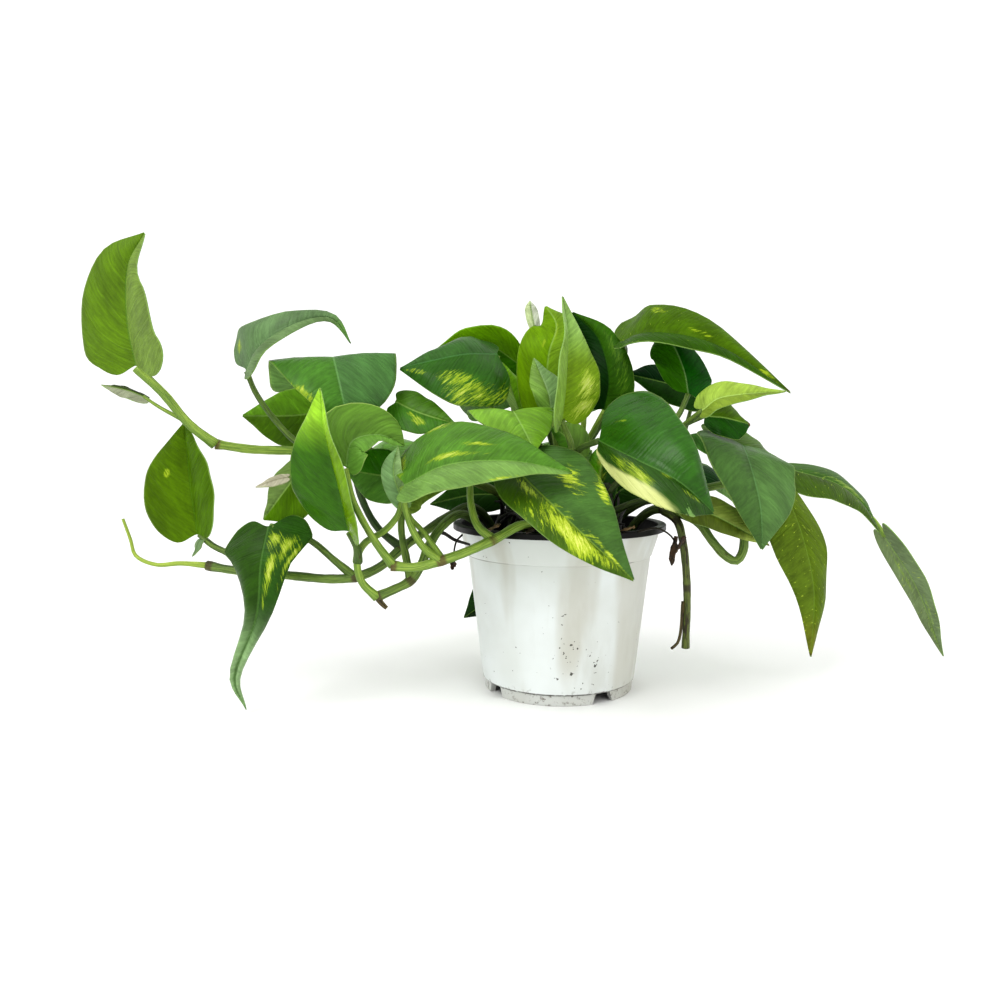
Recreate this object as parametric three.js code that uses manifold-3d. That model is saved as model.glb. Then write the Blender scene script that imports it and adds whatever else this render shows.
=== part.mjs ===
// A trailing pothos in a small round nursery pot.
// Millimetres, +Z up. The origin is on the floor, on the axis of the pot, and -Y is the front.
// The pot and the soil are turned shapes. Each long stem is one solid with its leaf stalks.
// Each large leaf blade is a thin solid of its own, seated on the end of its stalk.
import * as THREE from "three";
import { mergeVertices } from "three/addons/utils/BufferGeometryUtils.js";
import Module from "manifold-3d";

const wasm = await Module();
wasm.setup();

// ---- driving dimensions ----

const SEAT = 0.3; // clear gap left between two pieces that rest on each other
const END_SEAT = 2; // the gap at the end of a leaf stalk, as a multiple of that

const LIP_RADIUS = 65;
const POT_HEIGHT = 101.6;
const WALL = 1.3;
const LIP_BASE = 98; // underside of the lip
const RIM_RADIUS = 61.4; // rim band, right under the lip
const BAND_BASE = 82.4; // lower edge of the rim band
const BAND_RADIUS = 56.8;
const WALL_TOP_RADIUS = 55.9;
const WALL_FOOT_RADIUS = 46.7;
const FOOT_HEIGHT = 6.5;
const FOOT_RADIUS = 45.4;
const FOOT_WIDTH = 3.6;
const FLOOR = 8.5; // inside of the pot's floor
const CHAMFER = 0.4; // on the outer corners of the lip
const BAND_STEP = 0.8; // height of the small step at the foot of the rim band
const POT_SIDES = 36;

const NOTCHES = 4;
const FIRST_NOTCH = -59; // degrees from +X, the notch to the right of the front foot
const NOTCH_TOP = 10;
const NOTCH_BASE = 14;
const DRAIN_RADIUS = 3.5;
const DRAIN_RING = 37.3; // distance of a drain hole's middle from the axis
const DRAIN_SIDES = 12;

const SOIL_SIDES = 24;
const SOIL_TOP = 92.5;
const SOIL_MARGIN = 2; // from the soil's rim to the pot's wall
const SOIL_RINGS = [14, 34]; // in from its rim, where the top may rise and fall
const SOIL_LUMP = 1.4;

const STEM_SIDES = 5;
const STALK_SIDES = 4;
const SMOOTHING = 0.2; // how far joined stems may be simplified
const TRIM = 0.08; // the same after they are cut to fit their neighbours
const STEP = 16; // length of one straight stretch of a stem or stalk

const BLADE_THICKNESS = 0.7;
const WIDEST = 0.36; // where along its midrib a blade is widest
const TAPER_FROM = 0.15; // a tapered blade starts to narrow here
const TAPER_TO = 0.7;

// Blade outline from stalk to tip. rib: where a side vein leaves the midrib. along and out: where
// that vein meets the edge, as places along the midrib and shares of the widest half width.
const OUTLINE = [
  { rib: 0.0, along: 0.0, out: 0.05 },
  { rib: 0.03, along: -0.07, out: 0.44 },
  { rib: 0.12, along: 0.02, out: 0.82 },
  { rib: 0.26, along: 0.2, out: 1.0 },
  { rib: 0.44, along: 0.44, out: 0.94 },
  { rib: 0.64, along: 0.66, out: 0.66 },
  { rib: 0.83, along: 0.86, out: 0.28 },
  { rib: 0.99, along: 1.0, out: 0.02 },
];
const ACROSS = [-1, -0.5, 0, 0.5, 1];

const COLOURS = {
  potWhite: 0xe9ebe8,
  soil: 0x17120e,
  stemLight: 0x86a63c,
  stemDark: 0x4a6325,
  leafBright: 0x5c9a12,
  leafMid: 0x3f7f24,
  leafDark: 0x245a28,
  leafOlive: 0x4d7310,
  leafGrey: 0x6f9664,
  leafYellow: 0x9dc23a,
};

// ---- the leaves ----
// rib: points on the midrib from stalk to tip, the second at the widest place.
// left and right: the blade's edges at the widest place, seen on its upper face with the tip ahead.

const LEAVES = [
  // far left, upright on the end of its stem
  {
    name: "leaf_01",
    colour: "leafBright",
    rib: [[-231, -62, 192], [-236, -60, 215], [-235, -60, 243], [-225, -60, 262]],
    left: [-266, -50, 219],
    right: [-211, -84, 206],
  },
  // left, oval, tip up
  {
    name: "leaf_03",
    colour: "leafOlive",
    rib: [[-207, -44, 99], [-211, -42, 124], [-214, -40, 162]],
    left: [-241, -34, 125],
    right: [-194, -58, 132],
  },
  // left, heart shaped with a long hanging tip
  {
    name: "leaf_04",
    colour: "leafDark",
    rib: [[-161, -66, 106], [-163, -76, 86], [-167, -72, 57], [-182, -62, 23], [-177, -60, 3]],
    left: [-139, -68, 92],
    right: [-190, -64, 87],
    taper: 0.72,
  },
  // left, arching over to the right
  {
    name: "leaf_06",
    colour: "leafGrey",
    rib: [[-184, -22, 193], [-171, -34, 207], [-151, -34, 218], [-133, -28, 221], [-123, -22, 208]],
    left: [-187, -18, 223],
    right: [-164, -44, 201],
    taper: 0.6,
  },
  // left, behind the broad leaf, tip to the left
  {
    name: "leaf_07",
    colour: "leafOlive",
    rib: [[-151, 16, 169], [-167, 12, 167], [-196, 8, 167]],
    left: [-169, 16, 147],
    right: [-167, 14, 184],
  },
  // left, broad, folded over its own top
  {
    name: "leaf_08",
    colour: "leafMid",
    rib: [[-135, -14, 192], [-131, -34, 199], [-123, -52, 177], [-118, -50, 151]],
    left: [-94, -33, 193],
    right: [-170, -30, 195],
  },
  // left front, glossy, tip up
  {
    name: "leaf_09",
    colour: "leafBright",
    rib: [[-115, -80, 105], [-118, -88, 126], [-124, -88, 153], [-128, -84, 179]],
    left: [-146, -78, 133],
    right: [-110, -102, 123],
  },
  // left, twisted, tip to the right
  {
    name: "leaf_10",
    colour: "leafGrey",
    rib: [[-118, -70, 138], [-115, -66, 152], [-101, -62, 155], [-88, -62, 149]],
    left: [-123, -60, 171],
    right: [-108, -72, 145],
  },
  // left, in the shade under the twisted leaf
  {
    name: "leaf_11",
    colour: "leafDark",
    rib: [[-90, -56, 132], [-103, -54, 133], [-122, -50, 136]],
    left: [-105, -58, 118],
    right: [-104, -52, 148],
  },
  // front, broad, lying to the right
  {
    name: "leaf_13",
    colour: "leafMid",
    rib: [[-86, -80, 129], [-63, -88, 140], [-31, -92, 142], [0, -94, 136]],
    left: [-66, -62, 161],
    right: [-60, -108, 129],
  },
  // top left of the middle, behind
  {
    name: "leaf_14",
    colour: "leafBright",
    rib: [[-24, 24, 200], [-45, 18, 211], [-85, 12, 201]],
    left: [-45, 34, 183],
    right: [-50, 6, 222],
  },
  // left of the middle, arching to the left
  {
    name: "leaf_15",
    colour: "leafDark",
    rib: [[-38, -10, 203], [-55, -24, 202], [-74, -28, 198], [-94, -28, 193]],
    left: [-49, -42, 170],
    right: [-57, -4, 214],
  },
  // middle, upright, facing forward
  {
    name: "leaf_17",
    colour: "leafBright",
    rib: [[-10, -16, 167], [-8, -20, 201], [-3, -14, 219], [-9, -4, 232]],
    left: [-25, -12, 208],
    right: [11, -12, 204],
  },
  // middle right, upright
  {
    name: "leaf_18",
    colour: "leafDark",
    rib: [[27, -4, 170], [29, -8, 190], [23, 0, 214], [8, 6, 230]],
    left: [11, 2, 196],
    right: [44, -14, 186],
  },
  // middle front, pointed, half folded
  {
    name: "leaf_19",
    colour: "leafYellow",
    rib: [[-3, -60, 163], [-1, -62, 182], [0, -56, 204], [-2, -46, 231]],
    left: [-7, -86, 180],
    right: [19, -50, 184],
  },
  // middle, small, upright
  {
    name: "leaf_20",
    colour: "leafGrey",
    rib: [[-7, -35, 168], [-9, -37, 179], [-17, -29, 199]],
    left: [-19, -35, 181],
    right: [3, -33, 179],
  },
  // middle front, tip down
  {
    name: "leaf_21",
    colour: "leafBright",
    rib: [[-29, -36, 164], [-29, -48, 168], [-23, -61, 157], [-18, -70, 146]],
    left: [-6, -46, 168],
    right: [-54, -52, 168],
  },
  // front, hanging over the pot
  {
    name: "leaf_22",
    colour: "leafDark",
    rib: [[-28, -70, 137], [-11, -92, 121], [10, -102, 101], [30, -104, 83]],
    left: [13, -76, 139],
    right: [-24, -104, 119],
  },
  // right front, large and glossy
  {
    name: "leaf_23",
    colour: "leafDark",
    rib: [[17, -62, 152], [35, -86, 142], [53, -98, 132], [71, -96, 116]],
    left: [51, -62, 176],
    right: [42, -104, 119],
  },
  // right, hanging
  {
    name: "leaf_24",
    colour: "leafGrey",
    rib: [[106, -22, 149], [105, -40, 140], [107, -55, 116], [108, -56, 92]],
    left: [131, -42, 130],
    right: [77, -42, 150],
  },
  // right, hanging low
  {
    name: "leaf_25",
    colour: "leafOlive",
    rib: [[140, 4, 122], [149, -6, 92], [158, -2, 58], [159, 4, 16]],
    left: [168, 6, 80],
    right: [129, -2, 90],
  },
  // far right, long, first of two hanging in line
  {
    name: "leaf_26",
    colour: "leafMid",
    rib: [[150, 24, 133], [182, 31, 124], [202, 36, 110], [216, 40, 90]],
    left: [194, 45, 126],
    right: [171, 17, 114],
  },
  // top right, long, lying to the right
  {
    name: "leaf_27",
    colour: "leafOlive",
    rib: [[35, -12, 210], [53, -26, 214], [86, -34, 206], [129, -34, 179]],
    left: [55, 0, 234],
    right: [53, -46, 205],
  },
  // right, narrow, folded, tip to the right
  {
    name: "leaf_28",
    colour: "leafYellow",
    rib: [[72, -64, 168], [82, -66, 175], [115, -68, 178]],
    left: [81, -58, 183],
    right: [81, -72, 170],
  },
  // right, upright under the long top leaf
  {
    name: "leaf_29",
    colour: "leafDark",
    rib: [[74, -20, 179], [71, -22, 192], [66, -14, 208], [60, -4, 218]],
    left: [53, -12, 200],
    right: [90, -12, 188],
  },
  // right, behind, tip to the left
  {
    name: "leaf_30",
    colour: "leafDark",
    rib: [[87, 16, 181], [69, 14, 187], [41, 12, 193]],
    left: [71, 6, 173],
    right: [68, 24, 199],
  },
  // right, in the shade, tip to the right
  {
    name: "leaf_31",
    colour: "leafDark",
    rib: [[83, -22, 166], [94, -26, 165], [110, -22, 161]],
    left: [99, -16, 173],
    right: [99, -30, 152],
  },
  // right, above the hanging leaf
  {
    name: "leaf_32",
    colour: "leafOlive",
    rib: [[86, -8, 157], [109, -10, 148], [134, -6, 136]],
    left: [119, 4, 154],
    right: [99, -18, 139],
  },
  // left, between the glossy leaf and the heart
  {
    name: "leaf_33",
    colour: "leafGrey",
    rib: [[-147, -42, 138], [-155, -48, 126], [-168, -50, 108]],
    left: [-142, -56, 111],
    right: [-164, -42, 131],
  },
  // left of the middle, small, spotted
  {
    name: "leaf_35",
    colour: "leafMid",
    rib: [[-96, -30, 174], [-83, -36, 168], [-61, -42, 161]],
    left: [-79, -30, 177],
    right: [-87, -42, 156],
  },
  // middle, in the shade
  {
    name: "leaf_36",
    colour: "leafDark",
    rib: [[-54, -31, 154], [-36, -35, 147], [-14, -41, 136]],
    left: [-29, -28, 154],
    right: [-43, -44, 139],
  },
  // right front, low, under the glossy leaf
  {
    name: "leaf_39",
    colour: "leafOlive",
    rib: [[69, -46, 115], [86, -48, 109], [115, -47, 93]],
    left: [94, -44, 116],
    right: [80, -50, 103],
  },
  // behind the pot, hanging low
  {
    name: "leaf_40",
    colour: "leafMid",
    rib: [[-22, 84, 65], [-39, 84, 42], [-62, 76, 25]],
    left: [-22, 84, 36],
    right: [-52, 84, 51],
  },
  // far right, the second of two hanging in line
  {
    name: "leaf_42",
    colour: "leafGrey",
    rib: [[222, 46, 87], [246, 50, 53], [269, 54, 3]],
    left: [247, 38, 60],
    right: [243, 60, 48],
  },
  // the back of the plant
  {
    name: "leaf_43",
    colour: "leafMid",
    rib: [[-50, 58, 140], [-68, 76, 142], [-95, 98, 118]],
    left: [-87, 57, 132],
    right: [-49, 95, 132],
  },
  {
    name: "leaf_44",
    colour: "leafBright",
    rib: [[0, 70, 150], [2, 92, 148], [4, 108, 112]],
    left: [-26, 88, 140],
    right: [30, 88, 140],
  },
  {
    name: "leaf_45",
    colour: "leafDark",
    rib: [[48, 52, 144], [66, 70, 150], [92, 92, 128]],
    left: [47, 89, 140],
    right: [84, 51, 142],
  },
  {
    name: "leaf_46",
    colour: "leafMid",
    rib: [[20, 45, 185], [26, 66, 192], [30, 96, 172]],
    left: [0, 70, 184],
    right: [52, 62, 184],
  },
  {
    name: "leaf_47",
    colour: "leafDark",
    rib: [[-28, 48, 180], [-40, 66, 186], [-56, 92, 166]],
    left: [-64, 54, 178],
    right: [-16, 76, 178],
  },
  {
    name: "leaf_48",
    colour: "leafOlive",
    rib: [[80, 38, 134], [104, 46, 134], [128, 56, 106]],
    left: [104, 72, 128],
    right: [104, 22, 122],
  },
  {
    name: "leaf_49",
    colour: "leafDark",
    rib: [[60, 72, 112], [76, 86, 116], [94, 98, 104]],
    left: [60, 96, 114],
    right: [92, 76, 114],
  },
  {
    name: "leaf_50",
    colour: "leafMid",
    rib: [[-90, 40, 150], [-112, 50, 152], [-142, 58, 128]],
    left: [-112, 24, 144],
    right: [-110, 76, 142],
  },
  // low inside the plant, in deep shade
  {
    name: "leaf_51",
    colour: "leafDark",
    rib: [[-34, 36, 116], [-54, 34, 116], [-82, 30, 110]],
    left: [-54, 32, 104],
    right: [-54, 38, 127],
  },
  {
    name: "leaf_52",
    colour: "leafDark",
    rib: [[30, 30, 112], [46, 27, 122], [68, 24, 138]],
    left: [37, 28, 133],
    right: [56, 28, 111],
  },
];

// ---- the stems, with their leaf stalks ----
// A tube's radius runs evenly from radius[0] at its first point to radius[1] at its last.
// A stem's first tube stands in the soil. A blade listed with a stem is small and grown onto it.

const STEM = [2.7, 2.5];
const STALK = [2.3, 1.6];
const THIN_STALK = [1.7, 1.2];

const VINES = [
  {
    name: "vine_a",
    colour: "stemLight",
    tubes: [
      {
        radius: STEM,
        path: [[5, -18, 84], [0, -26, 98], [-10, -44, 104], [-25, -60, 106], [-38, -68, 100],
          [-54, -71, 93], [-69, -73, 88], [-82, -74, 85], [-94, -74, 86]],
      },
      { radius: STALK, path: [[-93, -74, 86], [-103, -77, 101], [-113, -76, 120], [-118, -71, 137]] },
      {
        radius: STALK,
        path: [[-41, -68, 100], [-48, -66, 106], [-52, -60, 117], [-53, -50, 130],
          [-55, -39, 144], [-55, -32, 153]],
      },
      { radius: STALK, path: [[-68, -73, 88], [-78, -73, 97], [-85, -75, 112], [-87, -80, 128]] },
      {
        radius: THIN_STALK,
        path: [[-67, -72, 89], [-77, -69, 103], [-85, -67, 112], [-85, -65, 118],
          [-82, -63, 122]],
      },
    ],
    blades: ["leaf_34"],
  },
  {
    name: "vine_b",
    colour: "stemDark",
    tubes: [
      {
        radius: STEM,
        path: [[-40, -16, 84], [-46, -22, 98], [-58, -38, 110], [-68, -50, 105], [-76, -57, 93],
          [-80, -58, 83], [-86, -60, 75], [-94, -62, 71], [-104, -64, 67]],
      },
      { radius: [1.6, 1], path: [[-103, -64, 67], [-101, -64, 64], [-98, -64, 61]] },
      {
        radius: STALK,
        path: [[-103, -64, 67], [-111, -66, 76], [-113, -68, 88], [-109, -69, 97],
          [-98, -70, 104], [-91, -70, 112], [-88, -70, 121]],
      },
      { radius: STALK, path: [[-113, -67, 87], [-112, -74, 95], [-115, -80, 104]] },
      {
        radius: STALK,
        path: [[-85, -60, 75], [-88, -56, 87], [-91, -53, 103], [-90, -53, 119], [-89, -56, 131]],
      },
    ],
    blades: ["leaf_12"],
  },
  {
    name: "vine_c",
    colour: "stemDark",
    tubes: [
      {
        radius: STEM,
        path: [[-38, 6, 84], [-42, 0, 100], [-54, -12, 112], [-67, -22, 107], [-80, -32, 99],
          [-92, -42, 91], [-104, -48, 81], [-117, -52, 76], [-131, -52, 75], [-148, -50, 76],
          [-171, -48, 78], [-190, -44, 79], [-203, -42, 81]],
      },
      {
        radius: [1.7, 0.8],
        path: [[-201, -42, 81], [-219, -40, 82], [-234, -38, 81], [-246, -36, 86],
          [-249, -35, 95], [-253, -35, 107]],
      },
      {
        radius: STALK,
        path: [[-117, -52, 76], [-129, -52, 86], [-140, -50, 95], [-152, -57, 103],
          [-160, -65, 106]],
      },
      { radius: STALK, path: [[-177, -47, 78], [-188, -47, 88], [-198, -46, 93], [-206, -44, 99]] },
      {
        radius: STALK,
        path: [[-92, -42, 91], [-106, -38, 102], [-117, -30, 120], [-127, -10, 150],
          [-135, -9, 178], [-136, -13, 191]],
      },
    ],
    blades: [],
  },
  {
    name: "vine_d",
    colour: "stemLight",
    tubes: [
      {
        radius: STEM,
        path: [[-20, 14, 84], [-22, 12, 98], [-28, 8, 112], [-49, 0, 125], [-78, -8, 134],
          [-119, -20, 144], [-157, -30, 146], [-178, -38, 147], [-195, -46, 150]],
      },
      { radius: STEM, path: [[-195, -46, 150], [-207, -52, 161], [-218, -58, 177], [-231, -62, 191]] },
      { radius: [1.1, 0.9], path: [[-211, -54, 164], [-222, -54, 170], [-231, -54, 176]] },
      {
        radius: STALK,
        path: [[-127, -22, 144], [-154, -20, 150], [-169, -18, 164], [-180, -18, 180], [-184, -21, 192]],
      },
      { radius: THIN_STALK, path: [[-100, -14, 140], [-122, 2, 150], [-140, 14, 164], [-150, 16, 169]] },
      { radius: THIN_STALK, path: [[-128, -22, 145], [-140, -34, 144], [-147, -41, 139]] },
    ],
    blades: ["leaf_02"],
  },
  {
    name: "vine_e",
    colour: "stemDark",
    tubes: [
      { radius: STEM, path: [[-28, -4, 84], [-30, -4, 110], [-36, -6, 130], [-42, -10, 146]] },
      { radius: STALK, path: [[-39, -8, 138], [-42, -4, 158], [-40, -4, 184], [-38, -9, 202]] },
      { radius: STALK, path: [[-41, -9, 143], [-62, -12, 158], [-86, -20, 170], [-96, -28, 174]] },
    ],
    blades: [],
  },
  {
    name: "vine_f",
    colour: "stemLight",
    tubes: [
      { radius: STEM, path: [[5, -36, 84], [3, -35, 104], [0, -33, 124]] },
      { radius: STALK, path: [[2, -34, 114], [4, -41, 134], [3, -51, 149], [-3, -60, 163]] },
      { radius: STALK, path: [[0, -34, 122], [-3, -32, 144], [-7, -35, 168]] },
      { radius: STALK, path: [[0, -33, 122], [-10, -22, 140], [-22, -20, 156], [-29, -35, 163]] },
      { radius: STALK, path: [[2, -34, 112], [-12, -44, 122], [-24, -58, 131], [-29, -69, 137]] },
      { radius: THIN_STALK, path: [[0, -33, 121], [6, -32, 135], [8, -34, 144]] },
    ],
    blades: ["leaf_37"],
  },
  {
    name: "vine_g",
    colour: "stemLight",
    tubes: [
      { radius: STEM, path: [[5, 16, 84], [4, 16, 112], [2, 14, 134]] },
      { radius: STALK, path: [[2, 14, 130], [-4, 4, 150], [-10, -16, 167]] },
      { radius: STALK, path: [[2, 14, 126], [16, 8, 148], [27, -4, 170]] },
      { radius: THIN_STALK, path: [[2, 14, 130], [-12, 8, 150], [-24, 2, 170]] },
      { radius: STALK, path: [[2, 14, 132], [-8, 24, 165], [-20, 28, 188], [-24, 25, 199]] },
      {
        radius: STALK,
        path: [[3, 15, 128], [26, 18, 160], [38, 14, 190], [40, 3, 206], [36, -11, 209]],
      },
      { radius: [1.7, 0.9], path: [[2, 14, 132], [-8, 14, 170], [-13, 10, 205], [-15, 6, 222]] },
    ],
    blades: ["leaf_16", "leaf_41"],
  },
  {
    name: "vine_h",
    colour: "stemDark",
    tubes: [
      { radius: STEM, path: [[26, -24, 84], [27, -27, 108], [26, -30, 128]] },
      { radius: STALK, path: [[26, -29, 116], [14, -40, 134], [7, -50, 146], [17, -62, 152]] },
      { radius: THIN_STALK, path: [[27, -28, 108], [24, -29, 114], [22, -28, 121]] },
      { radius: STALK, path: [[26, -29, 122], [46, -38, 144], [62, -50, 158], [72, -64, 168]] },
      { radius: STALK, path: [[26, -29, 124], [50, -26, 146], [68, -20, 166], [74, -20, 179]] },
      { radius: STALK, path: [[27, -28, 110], [46, -36, 118], [58, -42, 118], [68, -46, 115]] },
      { radius: THIN_STALK, path: [[60, -23, 156], [74, -22, 162], [83, -22, 166]] },
    ],
    blades: ["leaf_38"],
  },
  {
    name: "vine_i",
    colour: "stemDark",
    tubes: [
      {
        radius: STEM,
        path: [[40, -8, 84], [44, -11, 100], [56, -18, 111], [69, -26, 109], [79, -31, 104],
          [86, -35, 94], [93, -37, 86], [99, -38, 83], [103, -37, 88], [104, -36, 97],
          [104, -30, 120], [106, -23, 147]],
      },
      {
        radius: [2.4, 2.2],
        path: [[60, -21, 111], [67, -28, 105], [70, -30, 94], [73, -30, 66], [73, -29, 30]],
      },
      { radius: [1, 0.8], path: [[71, -30, 58], [68, -31, 34], [64, -31, 30]] },
    ],
    blades: [],
  },
  {
    name: "vine_j",
    colour: "stemDark",
    tubes: [
      {
        radius: STEM,
        path: [[34, 18, 84], [38, 17, 100], [52, 14, 112], [76, 10, 118], [102, 8, 124], [126, 10, 128]],
      },
      { radius: STALK, path: [[124, 10, 128], [136, 22, 127], [144, 25, 130], [150, 24, 133]] },
      {
        radius: STALK,
        path: [[124, 10, 128], [150, 34, 128], [178, 50, 120], [202, 55, 111], [216, 48, 97],
          [222, 46, 87]],
      },
      { radius: STALK, path: [[118, 9, 127], [128, 12, 131], [137, 9, 131], [140, 4, 122]] },
      { radius: THIN_STALK, path: [[72, 10, 117], [79, 4, 138], [86, -8, 157]] },
      { radius: THIN_STALK, path: [[60, 12, 114], [76, 16, 144], [86, 17, 180]] },
    ],
    blades: [],
  },
  {
    name: "vine_l",
    colour: "stemDark",
    tubes: [
      {
        radius: STEM,
        path: [[-18, 34, 84], [-20, 40, 100], [-24, 56, 112], [-27, 70, 107], [-27, 80, 92],
          [-23, 84, 67]],
      },
      { radius: STALK, path: [[-20, 42, 102], [-30, 48, 120], [-42, 54, 134], [-50, 58, 140]] },
      { radius: STALK, path: [[-20, 38, 98], [-22, 42, 130], [-26, 46, 160], [-28, 48, 179]] },
      { radius: STALK, path: [[-20, 42, 103], [-46, 44, 122], [-72, 40, 142], [-89, 40, 150]] },
      { radius: THIN_STALK, path: [[-19, 37, 94], [-26, 38, 106], [-33, 36, 115]] },
    ],
    blades: [],
  },
  {
    name: "vine_m",
    colour: "stemLight",
    tubes: [
      { radius: STEM, path: [[16, 36, 84], [16, 40, 104], [14, 46, 122]] },
      { radius: STALK, path: [[14, 44, 116], [8, 54, 136], [1, 69, 150]] },
      { radius: STALK, path: [[15, 43, 114], [18, 40, 150], [20, 44, 184]] },
      { radius: STALK, path: [[16, 42, 110], [32, 46, 132], [47, 51, 144]] },
      { radius: STALK, path: [[16, 41, 106], [30, 54, 112], [48, 66, 112], [59, 71, 112]] },
      { radius: STALK, path: [[16, 42, 110], [40, 40, 126], [64, 37, 136], [80, 38, 134]] },
      { radius: THIN_STALK, path: [[16, 38, 95], [23, 35, 104], [30, 30, 112]] },
    ],
    blades: [],
  },
];

// Small blades that are one with their stem, drawn like the others.
const SMALL_BLADES = {
  leaf_02: {
    rib: [[-229, -54, 175], [-238, -56, 179], [-252, -58, 182]],
    left: [-240, -58, 175],
    right: [-241, -52, 181],
  },
  leaf_12: {
    rib: [[-88, -69, 119], [-93, -68, 134], [-91, -64, 149]],
    left: [-100, -68, 134],
    right: [-87, -72, 134],
  },
  leaf_16: {
    rib: [[-24, 2, 168], [-29, -2, 182], [-35, 0, 199]],
    left: [-36, -4, 186],
    right: [-20, 4, 183],
  },
  leaf_34: {
    rib: [[-86, -65, 118], [-79, -62, 124], [-63, -60, 127]],
    left: [-80, -58, 132],
    right: [-79, -66, 117],
  },
  leaf_37: {
    rib: [[8, -34, 142], [2, -38, 153], [-9, -34, 161]],
    left: [-2, -38, 147],
    right: [11, -34, 160],
  },
  leaf_38: {
    rib: [[22, -28, 119], [22, -32, 137], [29, -26, 153]],
    left: [14, -28, 138],
    right: [32, -34, 135],
  },
  leaf_41: {
    rib: [[-15, 6, 220], [-17, 6, 230], [-18, 6, 237]],
    left: [-21, 6, 230],
    right: [-13, 6, 230],
  },
};

// ---- solids ----

const vec = (p) => new THREE.Vector3(...p);

// A closed geometry as a manifold-3d solid.
function solidOf(geometry) {
  const bare = geometry.index ? geometry.toNonIndexed() : geometry.clone();
  bare.deleteAttribute("normal");
  bare.deleteAttribute("uv");
  const merged = mergeVertices(bare, 1e-4);
  const mesh = new wasm.Mesh({
    numProp: 3,
    vertProperties: merged.getAttribute("position").array,
    triVerts: new Uint32Array(merged.index.array),
  });
  return new wasm.Manifold(mesh);
}

function geometryOf(solid) {
  const mesh = solid.getMesh();
  const geometry = new THREE.BufferGeometry();
  geometry.setAttribute("position", new THREE.BufferAttribute(mesh.vertProperties, 3));
  geometry.setIndex(new THREE.BufferAttribute(mesh.triVerts, 1));
  return geometry;
}

function node(name, colour, solid) {
  const material = new THREE.MeshStandardMaterial({
    color: COLOURS[colour],
    roughness: 0.5,
    metalness: 0,
  });
  const mesh = new THREE.Mesh(geometryOf(solid), material);
  mesh.name = name;
  return mesh;
}

// A turned solid: the profile's points are [radius, height], up the outside from axis to axis.
function turned(profile, sides) {
  const points = profile.map(([r, z]) => new THREE.Vector2(r, z));
  const geometry = new THREE.LatheGeometry(points, sides);
  geometry.rotateX(Math.PI / 2);
  return geometry;
}

// A closed surface from rings of points that all have the same count.
function skin(rings) {
  const count = rings[0].length;
  const positions = rings.flat().flatMap((p) => [p.x, p.y, p.z]);
  const faces = [];
  for (let i = 0; i + 1 < rings.length; i++) {
    for (let j = 0; j < count; j++) {
      const k = (j + 1) % count;
      const a = i * count + j;
      const b = i * count + k;
      faces.push(a, b, b + count, a, b + count, a + count);
    }
  }
  const last = (rings.length - 1) * count;
  for (let j = 1; j + 1 < count; j++) {
    faces.push(0, j + 1, j, last, last + j, last + j + 1);
  }
  const geometry = new THREE.BufferGeometry();
  geometry.setAttribute("position", new THREE.Float32BufferAttribute(positions, 3));
  geometry.setIndex(faces);
  return geometry;
}

// A round tube along a smooth path, `more` thicker all round.
function tube({ radius, path }, sides, more = 0) {
  const curve = new THREE.CatmullRomCurve3(path.map(vec));
  const steps = Math.max(3, Math.ceil(curve.getLength() / STEP));
  const frames = curve.computeFrenetFrames(steps);
  const rings = [];
  for (let i = 0; i <= steps; i++) {
    const centre = curve.getPointAt(i / steps);
    const r = THREE.MathUtils.lerp(radius[0], radius[1], i / steps) + more;
    const ring = [];
    for (let j = 0; j < sides; j++) {
      const angle = (2 * Math.PI * j) / sides;
      const out = frames.normals[i].clone().multiplyScalar(Math.cos(angle));
      out.addScaledVector(frames.binormals[i], Math.sin(angle));
      ring.push(centre.clone().addScaledVector(out, r));
    }
    rings.push(ring);
  }
  return solidOf(skin(rings));
}

// ---- a leaf blade ----

// The point at `place` (0 at the stalk, 1 at the tip) on a midrib, and the way it runs there.
function onRib(rib, place) {
  const last = rib.length - 1;
  const knots = rib.map((_, i) => (i ? WIDEST + ((1 - WIDEST) * (i - 1)) / (last - 1) : 0));
  const slope = rib.map((_, i) => {
    const a = Math.max(i - 1, 0);
    const b = Math.min(i + 1, last);
    return rib[b].clone().sub(rib[a]).divideScalar(knots[b] - knots[a]);
  });
  if (place <= 0) {
    const point = rib[0].clone().addScaledVector(slope[0], place);
    return { point, along: slope[0].clone().normalize() };
  }
  let i = 0;
  while (i < last - 1 && place > knots[i + 1]) i++;
  const width = knots[i + 1] - knots[i];
  const t = (place - knots[i]) / width;
  const hermite = (f0, g0, f1, g1) =>
    new THREE.Vector3()
      .addScaledVector(rib[i], f0)
      .addScaledVector(slope[i], g0 * width)
      .addScaledVector(rib[i + 1], f1)
      .addScaledVector(slope[i + 1], g1 * width);
  const [t2, t3] = [t * t, t * t * t];
  const point = hermite(2 * t3 - 3 * t2 + 1, t3 - 2 * t2 + t, 3 * t2 - 2 * t3, t3 - t2);
  const along = hermite(6 * t2 - 6 * t, 3 * t2 - 4 * t + 1, 6 * t - 6 * t2, 3 * t2 - 2 * t);
  return { point, along: along.normalize() };
}

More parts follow.
